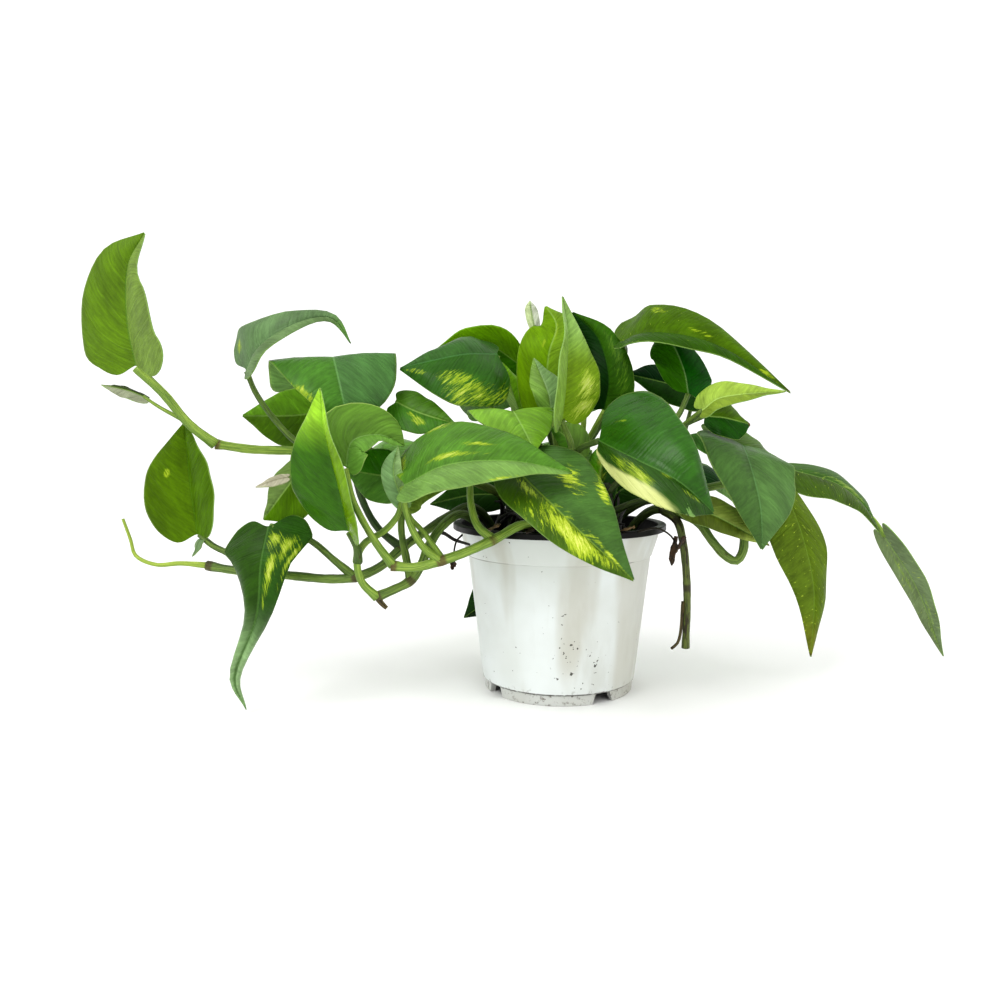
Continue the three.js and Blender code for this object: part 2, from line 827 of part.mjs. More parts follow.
// The blade's middle surface as rows of points from stalk to tip, each from left edge to right.
// `taper` narrows the half towards the tip.
function middleSurface({ rib, left, right, taper = 0 }) {
  const ribPoints = rib.map(vec);
  const middle = onRib(ribPoints, WIDEST);
  const sides = [vec(left).sub(middle.point), vec(right).sub(middle.point)];
  return OUTLINE.map((row) => {
    const slim = 1 - taper * THREE.MathUtils.smoothstep(row.along, TAPER_FROM, TAPER_TO);
    return ACROSS.map((across) => {
      const share = Math.abs(across);
      const place = THREE.MathUtils.lerp(row.rib, row.along, share);
      const here = onRib(ribPoints, place);
      const turn = new THREE.Quaternion().setFromUnitVectors(middle.along, here.along);
      const side = sides[across < 0 ? 0 : 1].clone().applyQuaternion(turn);
      return here.point.addScaledVector(side, row.out * slim * share);
    });
  });
}

// The blade with its thickness, `more` thicker on both faces and wider at its edges.
function blade(leaf, more = 0) {
  const rib = leaf.rib.map(vec);
  const rows = middleSurface(leaf);
  const half = BLADE_THICKNESS / 2 + more;
  const last = ACROSS.length - 1;
  const top = [];
  const bottom = [];
  rows.forEach((row, i) => {
    const { along } = onRib(rib, OUTLINE[i].rib);
    row.forEach((point, j) => {
      const across = row[Math.min(j + 1, last)].clone().sub(row[Math.max(j - 1, 0)]).normalize();
      const up = across.clone().cross(along).normalize();
      const grown = point.clone();
      if (j === 0) grown.addScaledVector(across, -more);
      if (j === last) grown.addScaledVector(across, more);
      if (i === 0) grown.addScaledVector(along, -END_SEAT * more);
      if (i === 1) grown.addScaledVector(along, -more);
      if (i === rows.length - 1) grown.addScaledVector(along, more);
      top.push(grown.clone().addScaledVector(up, half));
      bottom.push(grown.clone().addScaledVector(up, -half));
    });
  });
  return solidOf(slab(top, bottom, ACROSS.length));
}

// A closed slab between two grids of points that are split into triangles alike.
function slab(top, bottom, columns) {
  const size = top.length;
  const rows = size / columns;
  const faces = [];
  for (let i = 0; i + 1 < rows; i++) {
    for (let j = 0; j + 1 < columns; j++) {
      const a = i * columns + j;
      const b = a + 1;
      const c = a + columns;
      const d = c + 1;
      const quads = j < (columns - 1) / 2 ? [a, b, c, b, d, c] : [a, b, d, a, d, c];
      faces.push(...quads);
      for (let k = 0; k < 6; k += 3) {
        faces.push(quads[k] + size, quads[k + 2] + size, quads[k + 1] + size);
      }
    }
  }
  const edge = [];
  for (let j = 0; j < columns - 1; j++) edge.push(j);
  for (let i = 0; i < rows - 1; i++) edge.push(i * columns + columns - 1);
  for (let j = columns - 1; j > 0; j--) edge.push((rows - 1) * columns + j);
  for (let i = rows - 1; i > 0; i--) edge.push(i * columns);
  edge.forEach((a, k) => {
    const b = edge[(k + 1) % edge.length];
    faces.push(a, a + size, b + size, a, b + size, b);
  });
  const geometry = new THREE.BufferGeometry();
  const positions = [...top, ...bottom].flatMap((p) => [p.x, p.y, p.z]);
  geometry.setAttribute("position", new THREE.Float32BufferAttribute(positions, 3));
  geometry.setIndex(faces);
  return geometry;
}

// ---- pot, soil, stems ----

// The wedge that a gap in the foot ring is cut with.
function notch(angle) {
  const top = FOOT_HEIGHT - 0.5;
  const outline = new THREE.Shape([
    new THREE.Vector2(-NOTCH_BASE / 2, -1),
    new THREE.Vector2(NOTCH_BASE / 2, -1),
    new THREE.Vector2(NOTCH_TOP / 2, top),
    new THREE.Vector2(-NOTCH_TOP / 2, top),
  ]);
  const prism = new THREE.ExtrudeGeometry(outline, { depth: 3 * FOOT_WIDTH, bevelEnabled: false });
  prism.rotateX(Math.PI / 2);
  prism.translate(0, FOOT_RADIUS + FOOT_WIDTH, 0);
  prism.rotateZ(THREE.MathUtils.degToRad(angle - 90));
  return solidOf(prism);
}

function drain(angle) {
  const hole = new THREE.CylinderGeometry(DRAIN_RADIUS, DRAIN_RADIUS, 4 * WALL, DRAIN_SIDES);
  hole.rotateX(Math.PI / 2);
  hole.translate(DRAIN_RING, 0, FOOT_HEIGHT + WALL);
  hole.rotateZ(THREE.MathUtils.degToRad(angle));
  return solidOf(hole);
}

function potSolid() {
  const foot = FOOT_RADIUS - FOOT_WIDTH;
  const profile = [
    [0, FOOT_HEIGHT],
    [foot, FOOT_HEIGHT],
    [foot, 0],
    [FOOT_RADIUS, 0],
    [FOOT_RADIUS, FOOT_HEIGHT],
    [WALL_FOOT_RADIUS, FOOT_HEIGHT],
    [WALL_TOP_RADIUS, BAND_BASE],
    [BAND_RADIUS, BAND_BASE + BAND_STEP],
    [RIM_RADIUS, LIP_BASE],
    [LIP_RADIUS, LIP_BASE + CHAMFER],
    [LIP_RADIUS, POT_HEIGHT - CHAMFER],
    [LIP_RADIUS - CHAMFER, POT_HEIGHT],
    [RIM_RADIUS - WALL, POT_HEIGHT],
    [RIM_RADIUS - WALL, LIP_BASE],
    [BAND_RADIUS - WALL, BAND_BASE + BAND_STEP],
    [WALL_TOP_RADIUS - WALL, BAND_BASE],
    [WALL_FOOT_RADIUS - WALL, FLOOR],
    [0, FLOOR],
  ];
  let pot = solidOf(turned(profile, POT_SIDES));
  for (let i = 0; i < NOTCHES; i++) {
    const angle = FIRST_NOTCH + (360 * i) / NOTCHES;
    pot = pot.subtract(notch(angle)).subtract(drain(angle));
  }
  return pot;
}

// Low lumps on the soil's top, the same each time.
function lump(x, y) {
  return SOIL_LUMP * (Math.sin(0.31 * x + 0.12 * y) + Math.sin(0.27 * y - 0.16 * x) * 0.8);
}

function soilSolid(stems) {
  const clear = WALL + SEAT;
  const reach = (SOIL_TOP - BAND_BASE) / (LIP_BASE - BAND_BASE);
  const rim = THREE.MathUtils.lerp(BAND_RADIUS, RIM_RADIUS, reach) - SOIL_MARGIN;
  const floor = FLOOR + SEAT;
  const profile = [
    [0, floor],
    [WALL_FOOT_RADIUS - clear, floor],
    [WALL_TOP_RADIUS - clear, BAND_BASE],
    [rim, SOIL_TOP],
    [rim - SOIL_RINGS[0], SOIL_TOP + 0.01],
    [rim - SOIL_RINGS[1], SOIL_TOP],
    [0, SOIL_TOP + 0.01],
  ];
  const geometry = turned(profile, SOIL_SIDES);
  const position = geometry.getAttribute("position");
  for (let i = 0; i < position.count; i++) {
    const [x, y, z] = [position.getX(i), position.getY(i), position.getZ(i)];
    if (z > SOIL_TOP - 1 && Math.hypot(x, y) < rim - 1) position.setZ(i, z + lump(x, y));
  }
  const cut = stems.reduce((soil, stem) => soil.subtract(stem), solidOf(geometry));
  return cut.asOriginal().simplify(TRIM);
}

// One long stem joined with its leaf stalks and its small blades.
function vineSolid({ tubes, blades }) {
  const parts = tubes.map((t, i) => tube(t, i ? STALK_SIDES : STEM_SIDES));
  blades.forEach((name) => parts.push(blade(SMALL_BLADES[name])));
  return parts.reduce((whole, part) => whole.add(part)).asOriginal().simplify(SMOOTHING);
}

// The hole that a stem stands in, clear of it on all sides and below.
function stemHole({ tubes: [stem] }) {
  const hole = tube(stem, STEM_SIDES, SEAT);
  return hole.add(hole.translate([0, 0, -SEAT]));
}

// The vine with room left for the blades, as one body without the slivers the cuts leave.
function fitted(vine, seats) {
  const cut = seats.reduce((solid, seat) => solid.subtract(seat), vineSolid(vine));
  const bodies = cut.asOriginal().simplify(TRIM).decompose();
  return bodies.sort((p, q) => q.volume() - p.volume())[0];
}

// ---- the plant ----

const group = new THREE.Group();
const seats = LEAVES.map((leaf) => blade(leaf, SEAT));
group.add(node("pot", "potWhite", potSolid()));
group.add(node("soil", "soil", soilSolid(VINES.map(stemHole))));
VINES.forEach((vine) => group.add(node(vine.name, vine.colour, fitted(vine, seats))));
LEAVES.forEach((leaf) => group.add(node(leaf.name, leaf.colour, blade(leaf))));

export default group;
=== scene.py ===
"""A trailing pothos in a white nursery pot, dressed on its CAD frame. Lengths are in millimetres."""

import math

import bpy
import numpy as np
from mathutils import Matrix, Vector


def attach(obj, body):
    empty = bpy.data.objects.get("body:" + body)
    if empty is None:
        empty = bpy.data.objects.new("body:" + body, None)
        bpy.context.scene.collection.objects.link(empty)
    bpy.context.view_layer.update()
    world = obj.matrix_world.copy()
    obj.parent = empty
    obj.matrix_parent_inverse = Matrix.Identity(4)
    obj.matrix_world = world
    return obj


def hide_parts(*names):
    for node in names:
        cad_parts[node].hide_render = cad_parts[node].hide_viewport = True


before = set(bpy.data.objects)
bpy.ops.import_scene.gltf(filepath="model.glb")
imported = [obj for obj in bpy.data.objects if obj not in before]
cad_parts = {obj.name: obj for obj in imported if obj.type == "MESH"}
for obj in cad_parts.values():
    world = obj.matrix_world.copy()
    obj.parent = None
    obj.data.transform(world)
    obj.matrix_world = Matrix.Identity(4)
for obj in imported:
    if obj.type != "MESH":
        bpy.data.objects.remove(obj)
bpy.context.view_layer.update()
MM = 0.001
FULL_TURN = 2 * math.pi

# ---- camera and light ----

CAMERA_AT = (-36.3, -521.2, 155.5)
CAMERA_DOWN = 4.43  # degrees below level
LENS = 30.6
SENSOR = 36
LIGHTS = {  # place and width in metres, and watts
    "key": ((-0.9, -1.1, 1.5), 0.9, 14),
    "fill": ((1.3, -1.2, 0.7), 1.2, 3),
}
LIT_POINT = Vector((0, 0, 0.12))  # in metres


def rgb(code):
    """An sRGB hex colour as linear RGBA."""
    parts = [int(code[i : i + 2], 16) / 255 for i in (0, 2, 4)]
    linear = [c / 12.92 if c <= 0.04045 else ((c + 0.055) / 1.055) ** 2.4 for c in parts]
    return (*linear, 1.0)


def add_object(name, data):
    made = bpy.data.objects.new(name, data)
    bpy.context.collection.objects.link(made)
    return made


def add_camera():
    data = bpy.data.cameras.new("camera")
    data.lens = LENS
    data.sensor_width = SENSOR
    camera = add_object("camera", data)
    camera.location = Vector(CAMERA_AT) * MM
    camera.rotation_euler = (math.radians(90 - CAMERA_DOWN), 0, 0)
    bpy.context.scene.camera = camera


def add_light(name, at, size, watts):
    """A square area light that points at the middle of the plant."""
    data = bpy.data.lights.new(name, "AREA")
    data.size = size
    data.energy = watts
    light = add_object(name, data)
    light.location = at
    light.rotation_euler = (LIT_POINT - Vector(at)).to_track_quat("-Z", "Y").to_euler()


def add_world():
    """Even white light from all sides."""
    world = bpy.data.worlds.new("studio")
    world.use_nodes = True
    background = world.node_tree.nodes["Background"]
    background.inputs["Color"].default_value = (1, 1, 1, 1)
    background.inputs["Strength"].default_value = 1.0
    bpy.context.scene.world = world
    view = bpy.context.scene.view_settings
    view.view_transform = "Standard"
    view.look = "Medium High Contrast"


# ---- shader trees ----


class Tree:
    """The node tree of a new material, with short calls for the nodes used here."""

    def __init__(self, name):
        self.material = bpy.data.materials.new(name)
        self.material.use_nodes = True
        self.tree = self.material.node_tree
        self.shader = self.tree.nodes["Principled BSDF"]

    def put(self, socket, value):
        """Links a socket to another one or sets its value; a text is a colour."""
        if isinstance(value, bpy.types.NodeSocket):
            self.tree.links.new(value, socket)
        else:
            socket.default_value = rgb(value) if isinstance(value, str) else value

    def node(self, kind, values=(), **settings):
        made = self.tree.nodes.new("ShaderNode" + kind)
        for key, value in settings.items():
            setattr(made, key, value)
        pairs = values.items() if isinstance(values, dict) else enumerate(values)
        for key, value in pairs:
            self.put(made.inputs[key], value)
        return made

    def math(self, operation, *values):
        return self.node("Math", values, operation=operation).outputs[0]

    def plus(self, one, other):
        return self.math("ADD", one, other)

    def minus(self, one, other):
        return self.math("SUBTRACT", one, other)

    def times(self, one, other):
        return self.math("MULTIPLY", one, other)

    def apart(self, one, other):
        return self.math("ABSOLUTE", self.minus(one, other))

    def swing(self, texture, strength):
        """A texture's rise and fall about its middle."""
        return self.times(self.minus(texture, 0.5), strength)

    def vector(self, operation, *values):
        made = self.node("VectorMath", values, operation=operation)
        return made.outputs["Value" if operation == "LENGTH" else "Vector"]

    def scaled(self, colour, factor):
        made = self.node("VectorMath", {"Vector": colour, "Scale": factor}, operation="SCALE")
        return made.outputs["Vector"]

    def uv(self, name):
        return self.split(self.node("UVMap", uv_map=name).outputs["UV"])[:2]

    def place(self):
        return self.node("TexCoord").outputs["Object"]

    def split(self, vector):
        return tuple(self.node("SeparateXYZ", [vector]).outputs)

    def join(self, x, y=0.0, z=0.0):
        return self.node("CombineXYZ", [x, y, z]).outputs[0]

    def noise(self, vector, scale, detail=2.0, roughness=0.5):
        values = {"Vector": vector, "Scale": scale, "Detail": detail, "Roughness": roughness}
        return self.node("TexNoise", values).outputs["Fac"]

    def cells(self, vector, scale):
        return self.node("TexVoronoi", {"Vector": vector, "Scale": scale}).outputs["Distance"]

    def ramp(self, value, start, end, low=0.0, high=1.0):
        """Value from start to end becomes low to high, smoothly and without going beyond them."""
        values = {0: value, 1: start, 2: end, 3: low, 4: high}
        return self.node("MapRange", values, interpolation_type="SMOOTHSTEP").outputs[0]

    def mix(self, share, one, other):
        return self.node("Mix", {0: share, 6: one, 7: other}, data_type="RGBA").outputs[2]

    def finish(self, colour, roughness, height=None, depth=0.0, **sockets):
        sockets |= {"Base_Color": colour, "Roughness": roughness}
        if height is not None:
            bump = self.node("Bump", {"Height": height, "Distance": depth * MM, "Strength": 1.0})
            sockets["Normal"] = bump.outputs[0]
        for key, value in sockets.items():
            self.put(self.shader.inputs[key.replace("_", " ")], value)
        return self.material


# ---- blades and stems, by number and letter, as the CAD part has them ----

# Midrib from stalk to tip; left and right edge at the widest place; how far the tip half narrows.
LEAVES = {
    1: ([(-231, -62, 192), (-236, -60, 215), (-235, -60, 243), (-225, -60, 262)],
        (-266, -50, 219), (-211, -84, 206)),
    3: ([(-207, -44, 99), (-211, -42, 124), (-214, -40, 162)], (-241, -34, 125), (-194, -58, 132)),
    4: ([(-161, -66, 106), (-163, -76, 86), (-167, -72, 57), (-182, -62, 23), (-177, -60, 3)],
        (-139, -68, 92), (-187, -64, 86), 0.72),
    6: ([(-184, -22, 193), (-171, -34, 207), (-151, -34, 218), (-133, -28, 221), (-123, -22, 208)],
        (-187, -18, 223), (-164, -44, 201), 0.6),
    7: ([(-151, 16, 169), (-167, 12, 167), (-196, 8, 167)], (-169, 16, 147), (-167, 14, 184)),
    8: ([(-135, -14, 192), (-131, -34, 199), (-123, -52, 177), (-118, -50, 151)],
        (-94, -33, 193), (-170, -30, 195)),
    9: ([(-115, -80, 105), (-118, -88, 126), (-124, -88, 153), (-128, -84, 179)],
        (-146, -78, 133), (-110, -102, 123)),
    10: ([(-118, -70, 138), (-115, -66, 152), (-101, -62, 155), (-88, -62, 149)],
        (-123, -60, 171), (-108, -72, 145)),
    11: ([(-90, -56, 132), (-103, -54, 133), (-122, -50, 136)], (-105, -58, 118), (-104, -52, 148)),
    13: ([(-86, -80, 129), (-63, -88, 140), (-31, -92, 142), (0, -94, 136)],
        (-66, -62, 161), (-60, -108, 129)),
    14: ([(-24, 24, 200), (-45, 18, 211), (-85, 12, 201)], (-45, 34, 183), (-50, 6, 222)),
    15: ([(-38, -10, 203), (-55, -24, 202), (-74, -28, 198), (-94, -28, 193)],
        (-49, -42, 170), (-57, -4, 214)),
    17: ([(-10, -16, 167), (-8, -20, 201), (-3, -14, 219), (-9, -4, 232)], (-25, -12, 208), (11, -12, 204)),
    18: ([(27, -4, 170), (29, -8, 190), (23, 0, 214), (8, 6, 230)], (11, 2, 196), (44, -14, 186)),
    19: ([(-3, -60, 163), (-1, -62, 182), (0, -56, 204), (-2, -46, 231)], (-7, -86, 180), (19, -50, 184)),
    20: ([(-7, -35, 168), (-9, -37, 179), (-17, -29, 199)], (-19, -35, 181), (3, -33, 179)),
    21: ([(-29, -36, 164), (-29, -48, 168), (-23, -61, 157), (-18, -70, 146)],
        (-6, -46, 168), (-54, -52, 168)),
    22: ([(-28, -70, 137), (-11, -92, 121), (10, -102, 101), (30, -104, 83)],
        (13, -76, 139), (-25, -101, 113)),
    23: ([(17, -62, 152), (35, -86, 142), (53, -98, 132), (71, -96, 116)], (51, -62, 176), (42, -104, 119)),
    24: ([(106, -22, 149), (105, -40, 140), (107, -55, 116), (108, -56, 92)],
        (131, -42, 130), (77, -42, 150)),
    25: ([(140, 4, 122), (149, -6, 92), (158, -2, 58), (159, 4, 16)], (168, 6, 80), (129, -2, 90)),
    26: ([(150, 24, 133), (182, 31, 124), (202, 36, 110), (216, 40, 90)], (194, 45, 126), (171, 17, 114)),
    27: ([(35, -12, 210), (53, -26, 214), (86, -34, 206), (129, -34, 179)], (55, 0, 234), (53, -46, 205)),
    28: ([(72, -64, 168), (82, -66, 175), (115, -68, 178)], (81, -58, 183), (81, -72, 170)),
    29: ([(74, -20, 179), (71, -22, 192), (66, -14, 208), (60, -4, 218)], (53, -12, 200), (90, -12, 188)),
    30: ([(87, 16, 181), (69, 14, 187), (41, 12, 193)], (71, 6, 173), (68, 24, 199)),
    31: ([(83, -22, 166), (94, -26, 165), (110, -22, 161)], (99, -16, 173), (99, -30, 152)),
    32: ([(86, -8, 157), (109, -10, 148), (134, -6, 136)], (119, 4, 154), (99, -18, 139)),
    33: ([(-147, -42, 138), (-155, -48, 126), (-168, -50, 108)], (-142, -56, 111), (-164, -42, 131)),
    35: ([(-96, -30, 174), (-83, -36, 168), (-61, -42, 161)], (-79, -30, 177), (-87, -42, 156)),
    36: ([(-54, -31, 154), (-36, -35, 147), (-14, -41, 136)], (-29, -28, 154), (-43, -44, 139)),
    39: ([(69, -46, 115), (86, -48, 109), (115, -47, 93)], (94, -44, 116), (80, -50, 103)),
    40: ([(-22, 84, 65), (-39, 84, 42), (-62, 76, 25)], (-22, 84, 36), (-52, 84, 51)),
    42: ([(222, 46, 87), (246, 50, 53), (269, 54, 3)], (247, 38, 60), (243, 60, 48)),
    43: ([(-50, 58, 140), (-68, 76, 142), (-95, 98, 118)], (-87, 57, 132), (-49, 95, 132)),
    44: ([(0, 70, 150), (2, 92, 148), (4, 108, 112)], (-26, 88, 140), (30, 88, 140)),
    45: ([(48, 52, 144), (66, 70, 150), (92, 92, 128)], (47, 89, 140), (84, 51, 142)),
    46: ([(20, 45, 185), (26, 66, 192), (30, 96, 172)], (0, 70, 184), (52, 62, 184)),
    47: ([(-28, 48, 180), (-40, 66, 186), (-56, 92, 166)], (-64, 54, 178), (-16, 76, 178)),
    48: ([(80, 38, 134), (104, 46, 134), (128, 56, 106)], (104, 72, 128), (104, 22, 122)),
    49: ([(60, 72, 112), (76, 86, 116), (94, 98, 104)], (60, 96, 114), (92, 76, 114)),
    50: ([(-90, 40, 150), (-112, 50, 152), (-142, 58, 128)], (-112, 24, 144), (-110, 76, 142)),
    # 51 and 52 are dark blades that fill the middle of the plant: painted shade.
    51: ([(-34, 36, 116), (-54, 34, 116), (-82, 30, 110)], (-54, 32, 104), (-54, 38, 127)),
    52: ([(30, 30, 112), (46, 27, 122), (68, 24, 138)], (37, 28, 133), (56, 28, 111)),
}
# The smallest blades, which are one piece with their stem.
SMALL_BLADES = {
    "a": {
        34: ([(-86, -65, 118), (-79, -62, 124), (-63, -60, 127)], (-80, -58, 132), (-79, -66, 117)),
    },
    "b": {
        12: ([(-88, -69, 119), (-93, -68, 134), (-91, -64, 149)], (-100, -68, 134), (-87, -72, 134)),
    },
    "d": {
        2: ([(-229, -54, 175), (-238, -56, 179), (-252, -58, 182)], (-240, -58, 175), (-241, -52, 181)),
    },
    "f": {
        37: ([(8, -34, 142), (2, -38, 153), (-9, -34, 161)], (-2, -38, 147), (11, -34, 160)),
    },
    "g": {
        16: ([(-24, 2, 168), (-29, -2, 182), (-35, 0, 199)], (-36, -4, 186), (-20, 4, 183)),
        41: ([(-15, 6, 220), (-17, 6, 230), (-18, 6, 237)], (-21, 6, 230), (-13, 6, 230)),
    },
    "h": {
        38: ([(22, -28, 119), (22, -32, 137), (29, -26, 153)], (14, -28, 138), (32, -34, 135)),
    },
}

STEM, STALK, THIN_STALK = (2.7, 2.5), (2.3, 1.6), (1.7, 1.2)  # radii at the start and the end
# Radii and path of the stem, then of its leaf stalks and side shoots.
VINES = {
    "a": [
        (STEM, [(5, -18, 84), (0, -26, 98), (-10, -44, 104), (-25, -60, 106), (-38, -68, 100),
            (-54, -71, 93), (-69, -73, 88), (-82, -74, 85), (-94, -74, 86)]),
        (STALK, [(-93, -74, 86), (-103, -77, 101), (-113, -76, 120), (-118, -71, 137)]),
        (STALK, [(-41, -68, 100), (-48, -66, 106), (-52, -60, 117), (-53, -50, 130), (-55, -39, 144),
            (-55, -32, 153)]),
        (STALK, [(-68, -73, 88), (-78, -73, 97), (-85, -75, 112), (-87, -80, 128)]),
        (THIN_STALK, [(-67, -72, 89), (-77, -69, 103), (-85, -67, 112), (-85, -65, 118), (-82, -63, 122)]),
    ],
    "b": [
        (STEM, [(-40, -16, 84), (-46, -22, 98), (-58, -38, 110), (-68, -50, 105), (-76, -57, 93),
            (-80, -58, 83), (-86, -60, 75), (-94, -62, 71), (-104, -64, 67)]),
        ((1.6, 1), [(-103, -64, 67), (-101, -64, 64), (-98, -64, 61)]),
        (STALK, [(-103, -64, 67), (-111, -66, 76), (-113, -68, 88), (-109, -69, 97), (-98, -70, 104),
            (-91, -70, 112), (-88, -70, 121)]),
        (STALK, [(-113, -67, 87), (-112, -74, 95), (-115, -80, 104)]),
        (STALK, [(-85, -60, 75), (-88, -56, 87), (-91, -53, 103), (-90, -53, 119), (-89, -56, 131)]),
    ],
    "c": [
        (STEM, [(-38, 6, 84), (-42, 0, 100), (-54, -12, 112), (-67, -22, 107), (-80, -32, 99),
            (-92, -42, 91), (-104, -48, 81), (-117, -52, 76), (-131, -52, 75), (-148, -50, 76),
            (-171, -48, 78), (-190, -44, 79), (-203, -42, 81)]),
        ((1.7, 0.8), [(-201, -42, 81), (-219, -40, 82), (-234, -38, 81), (-246, -36, 86), (-249, -35, 95),
            (-253, -35, 107)]),
        (STALK, [(-117, -52, 76), (-129, -52, 86), (-140, -50, 95), (-152, -57, 103), (-160, -65, 106)]),
        (STALK, [(-177, -47, 78), (-188, -47, 88), (-198, -46, 93), (-206, -44, 99)]),
        (STALK, [(-92, -42, 91), (-106, -38, 102), (-117, -30, 120), (-127, -10, 150), (-135, -9, 178),
            (-136, -13, 191)]),
    ],
    "d": [
        (STEM, [(-20, 14, 84), (-22, 12, 98), (-28, 8, 112), (-49, 0, 125), (-78, -8, 134),
            (-119, -20, 144), (-157, -30, 146), (-178, -38, 147), (-195, -46, 150)]),
        (STEM, [(-195, -46, 150), (-207, -52, 161), (-218, -58, 177), (-231, -62, 191)]),
        ((1.1, 0.9), [(-211, -54, 164), (-222, -54, 170), (-231, -54, 176)]),
        (STALK, [(-127, -22, 144), (-154, -20, 150), (-169, -18, 164), (-180, -18, 180),
            (-184, -21, 192)]),
        (THIN_STALK, [(-100, -14, 140), (-122, 2, 150), (-140, 14, 164), (-150, 16, 169)]),
        (THIN_STALK, [(-128, -22, 145), (-140, -34, 144), (-147, -41, 139)]),
    ],
    "e": [
        (STEM, [(-28, -4, 84), (-30, -4, 110), (-36, -6, 130), (-42, -10, 146)]),
        (STALK, [(-39, -8, 138), (-42, -4, 158), (-40, -4, 184), (-38, -9, 202)]),
        (STALK, [(-41, -9, 143), (-62, -12, 158), (-86, -20, 170), (-96, -28, 174)]),
    ],
    "f": [
        (STEM, [(5, -36, 84), (3, -35, 104), (0, -33, 124)]),
        (STALK, [(2, -34, 114), (4, -41, 134), (3, -51, 149), (-3, -60, 163)]),
        (STALK, [(0, -34, 122), (-3, -32, 144), (-7, -35, 168)]),
        (STALK, [(0, -33, 122), (-10, -22, 140), (-22, -20, 156), (-29, -35, 163)]),
        (STALK, [(2, -34, 112), (-12, -44, 122), (-24, -58, 131), (-29, -69, 137)]),
        (THIN_STALK, [(0, -33, 121), (6, -32, 135), (8, -34, 144)]),
    ],
    "g": [
        (STEM, [(5, 16, 84), (4, 16, 112), (2, 14, 134)]),
        (STALK, [(2, 14, 130), (-4, 4, 150), (-10, -16, 167)]),
        (STALK, [(2, 14, 126), (16, 8, 148), (27, -4, 170)]),
        (THIN_STALK, [(2, 14, 130), (-12, 8, 150), (-24, 2, 170)]),
        (STALK, [(2, 14, 132), (-8, 24, 165), (-20, 28, 188), (-24, 25, 199)]),
        (STALK, [(3, 15, 128), (26, 18, 160), (38, 14, 190), (40, 3, 206), (36, -11, 209)]),
        ((1.7, 0.9), [(2, 14, 132), (-8, 14, 170), (-13, 10, 205), (-15, 6, 222)]),
    ],
    "h": [
        (STEM, [(26, -24, 84), (27, -27, 108), (26, -30, 128)]),
        (STALK, [(26, -29, 116), (14, -40, 134), (7, -50, 146), (17, -62, 152)]),
        (THIN_STALK, [(27, -28, 108), (24, -29, 114), (22, -28, 121)]),
        (STALK, [(26, -29, 122), (46, -38, 144), (62, -50, 158), (72, -64, 168)]),
        (STALK, [(26, -29, 124), (50, -26, 146), (68, -20, 166), (74, -20, 179)]),
        (STALK, [(27, -28, 110), (46, -36, 118), (58, -42, 118), (68, -46, 115)]),
        (THIN_STALK, [(60, -23, 156), (74, -22, 162), (83, -22, 166)]),
    ],
    "i": [
        (STEM, [(40, -8, 84), (44, -11, 100), (56, -18, 111), (69, -26, 109), (79, -31, 104),
            (86, -35, 94), (93, -37, 86), (99, -38, 83), (103, -37, 88), (104, -36, 97), (104, -30, 120),
            (106, -23, 147)]),
        ((2.4, 2.2), [(60, -21, 111), (67, -28, 105), (70, -30, 94), (73, -30, 66), (73, -29, 30)]),
        ((1, 0.8), [(71, -30, 58), (68, -31, 34), (64, -31, 30)]),
    ],
    "j": [
        (STEM, [(34, 18, 84), (38, 17, 100), (52, 14, 112), (76, 10, 118), (102, 8, 124), (126, 10, 128)]),
        (STALK, [(124, 10, 128), (136, 22, 127), (144, 25, 130), (150, 24, 133)]),
        (STALK, [(124, 10, 128), (150, 34, 128), (178, 50, 120), (202, 55, 111), (216, 48, 97),
            (222, 46, 87)]),
        (STALK, [(118, 9, 127), (128, 12, 131), (137, 9, 131), (140, 4, 122)]),
        (THIN_STALK, [(72, 10, 117), (79, 4, 138), (86, -8, 157)]),
        (THIN_STALK, [(60, 12, 114), (76, 16, 144), (86, 17, 180)]),
    ],
    "l": [
        (STEM, [(-18, 34, 84), (-20, 40, 100), (-24, 56, 112), (-27, 70, 107), (-27, 80, 92),
            (-23, 84, 67)]),
        (STALK, [(-20, 42, 102), (-30, 48, 120), (-42, 54, 134), (-50, 58, 140)]),
        (STALK, [(-20, 38, 98), (-22, 42, 130), (-26, 46, 160), (-28, 48, 179)]),
        (STALK, [(-20, 42, 103), (-46, 44, 122), (-72, 40, 142), (-89, 40, 150)]),
        (THIN_STALK, [(-19, 37, 94), (-26, 38, 106), (-33, 36, 115)]),
    ],
    "m": [
        (STEM, [(16, 36, 84), (16, 40, 104), (14, 46, 122)]),
        (STALK, [(14, 44, 116), (8, 54, 136), (1, 69, 150)]),
        (STALK, [(15, 43, 114), (18, 40, 150), (20, 44, 184)]),
        (STALK, [(16, 42, 110), (32, 46, 132), (47, 51, 144)]),
        (STALK, [(16, 41, 106), (30, 54, 112), (48, 66, 112), (59, 71, 112)]),
        (STALK, [(16, 42, 110), (40, 40, 126), (64, 37, 136), (80, 38, 134)]),
        (THIN_STALK, [(16, 38, 95), (23, 35, 104), (30, 30, 112)]),
    ],
}

# ---- looks of the blades and stems ----


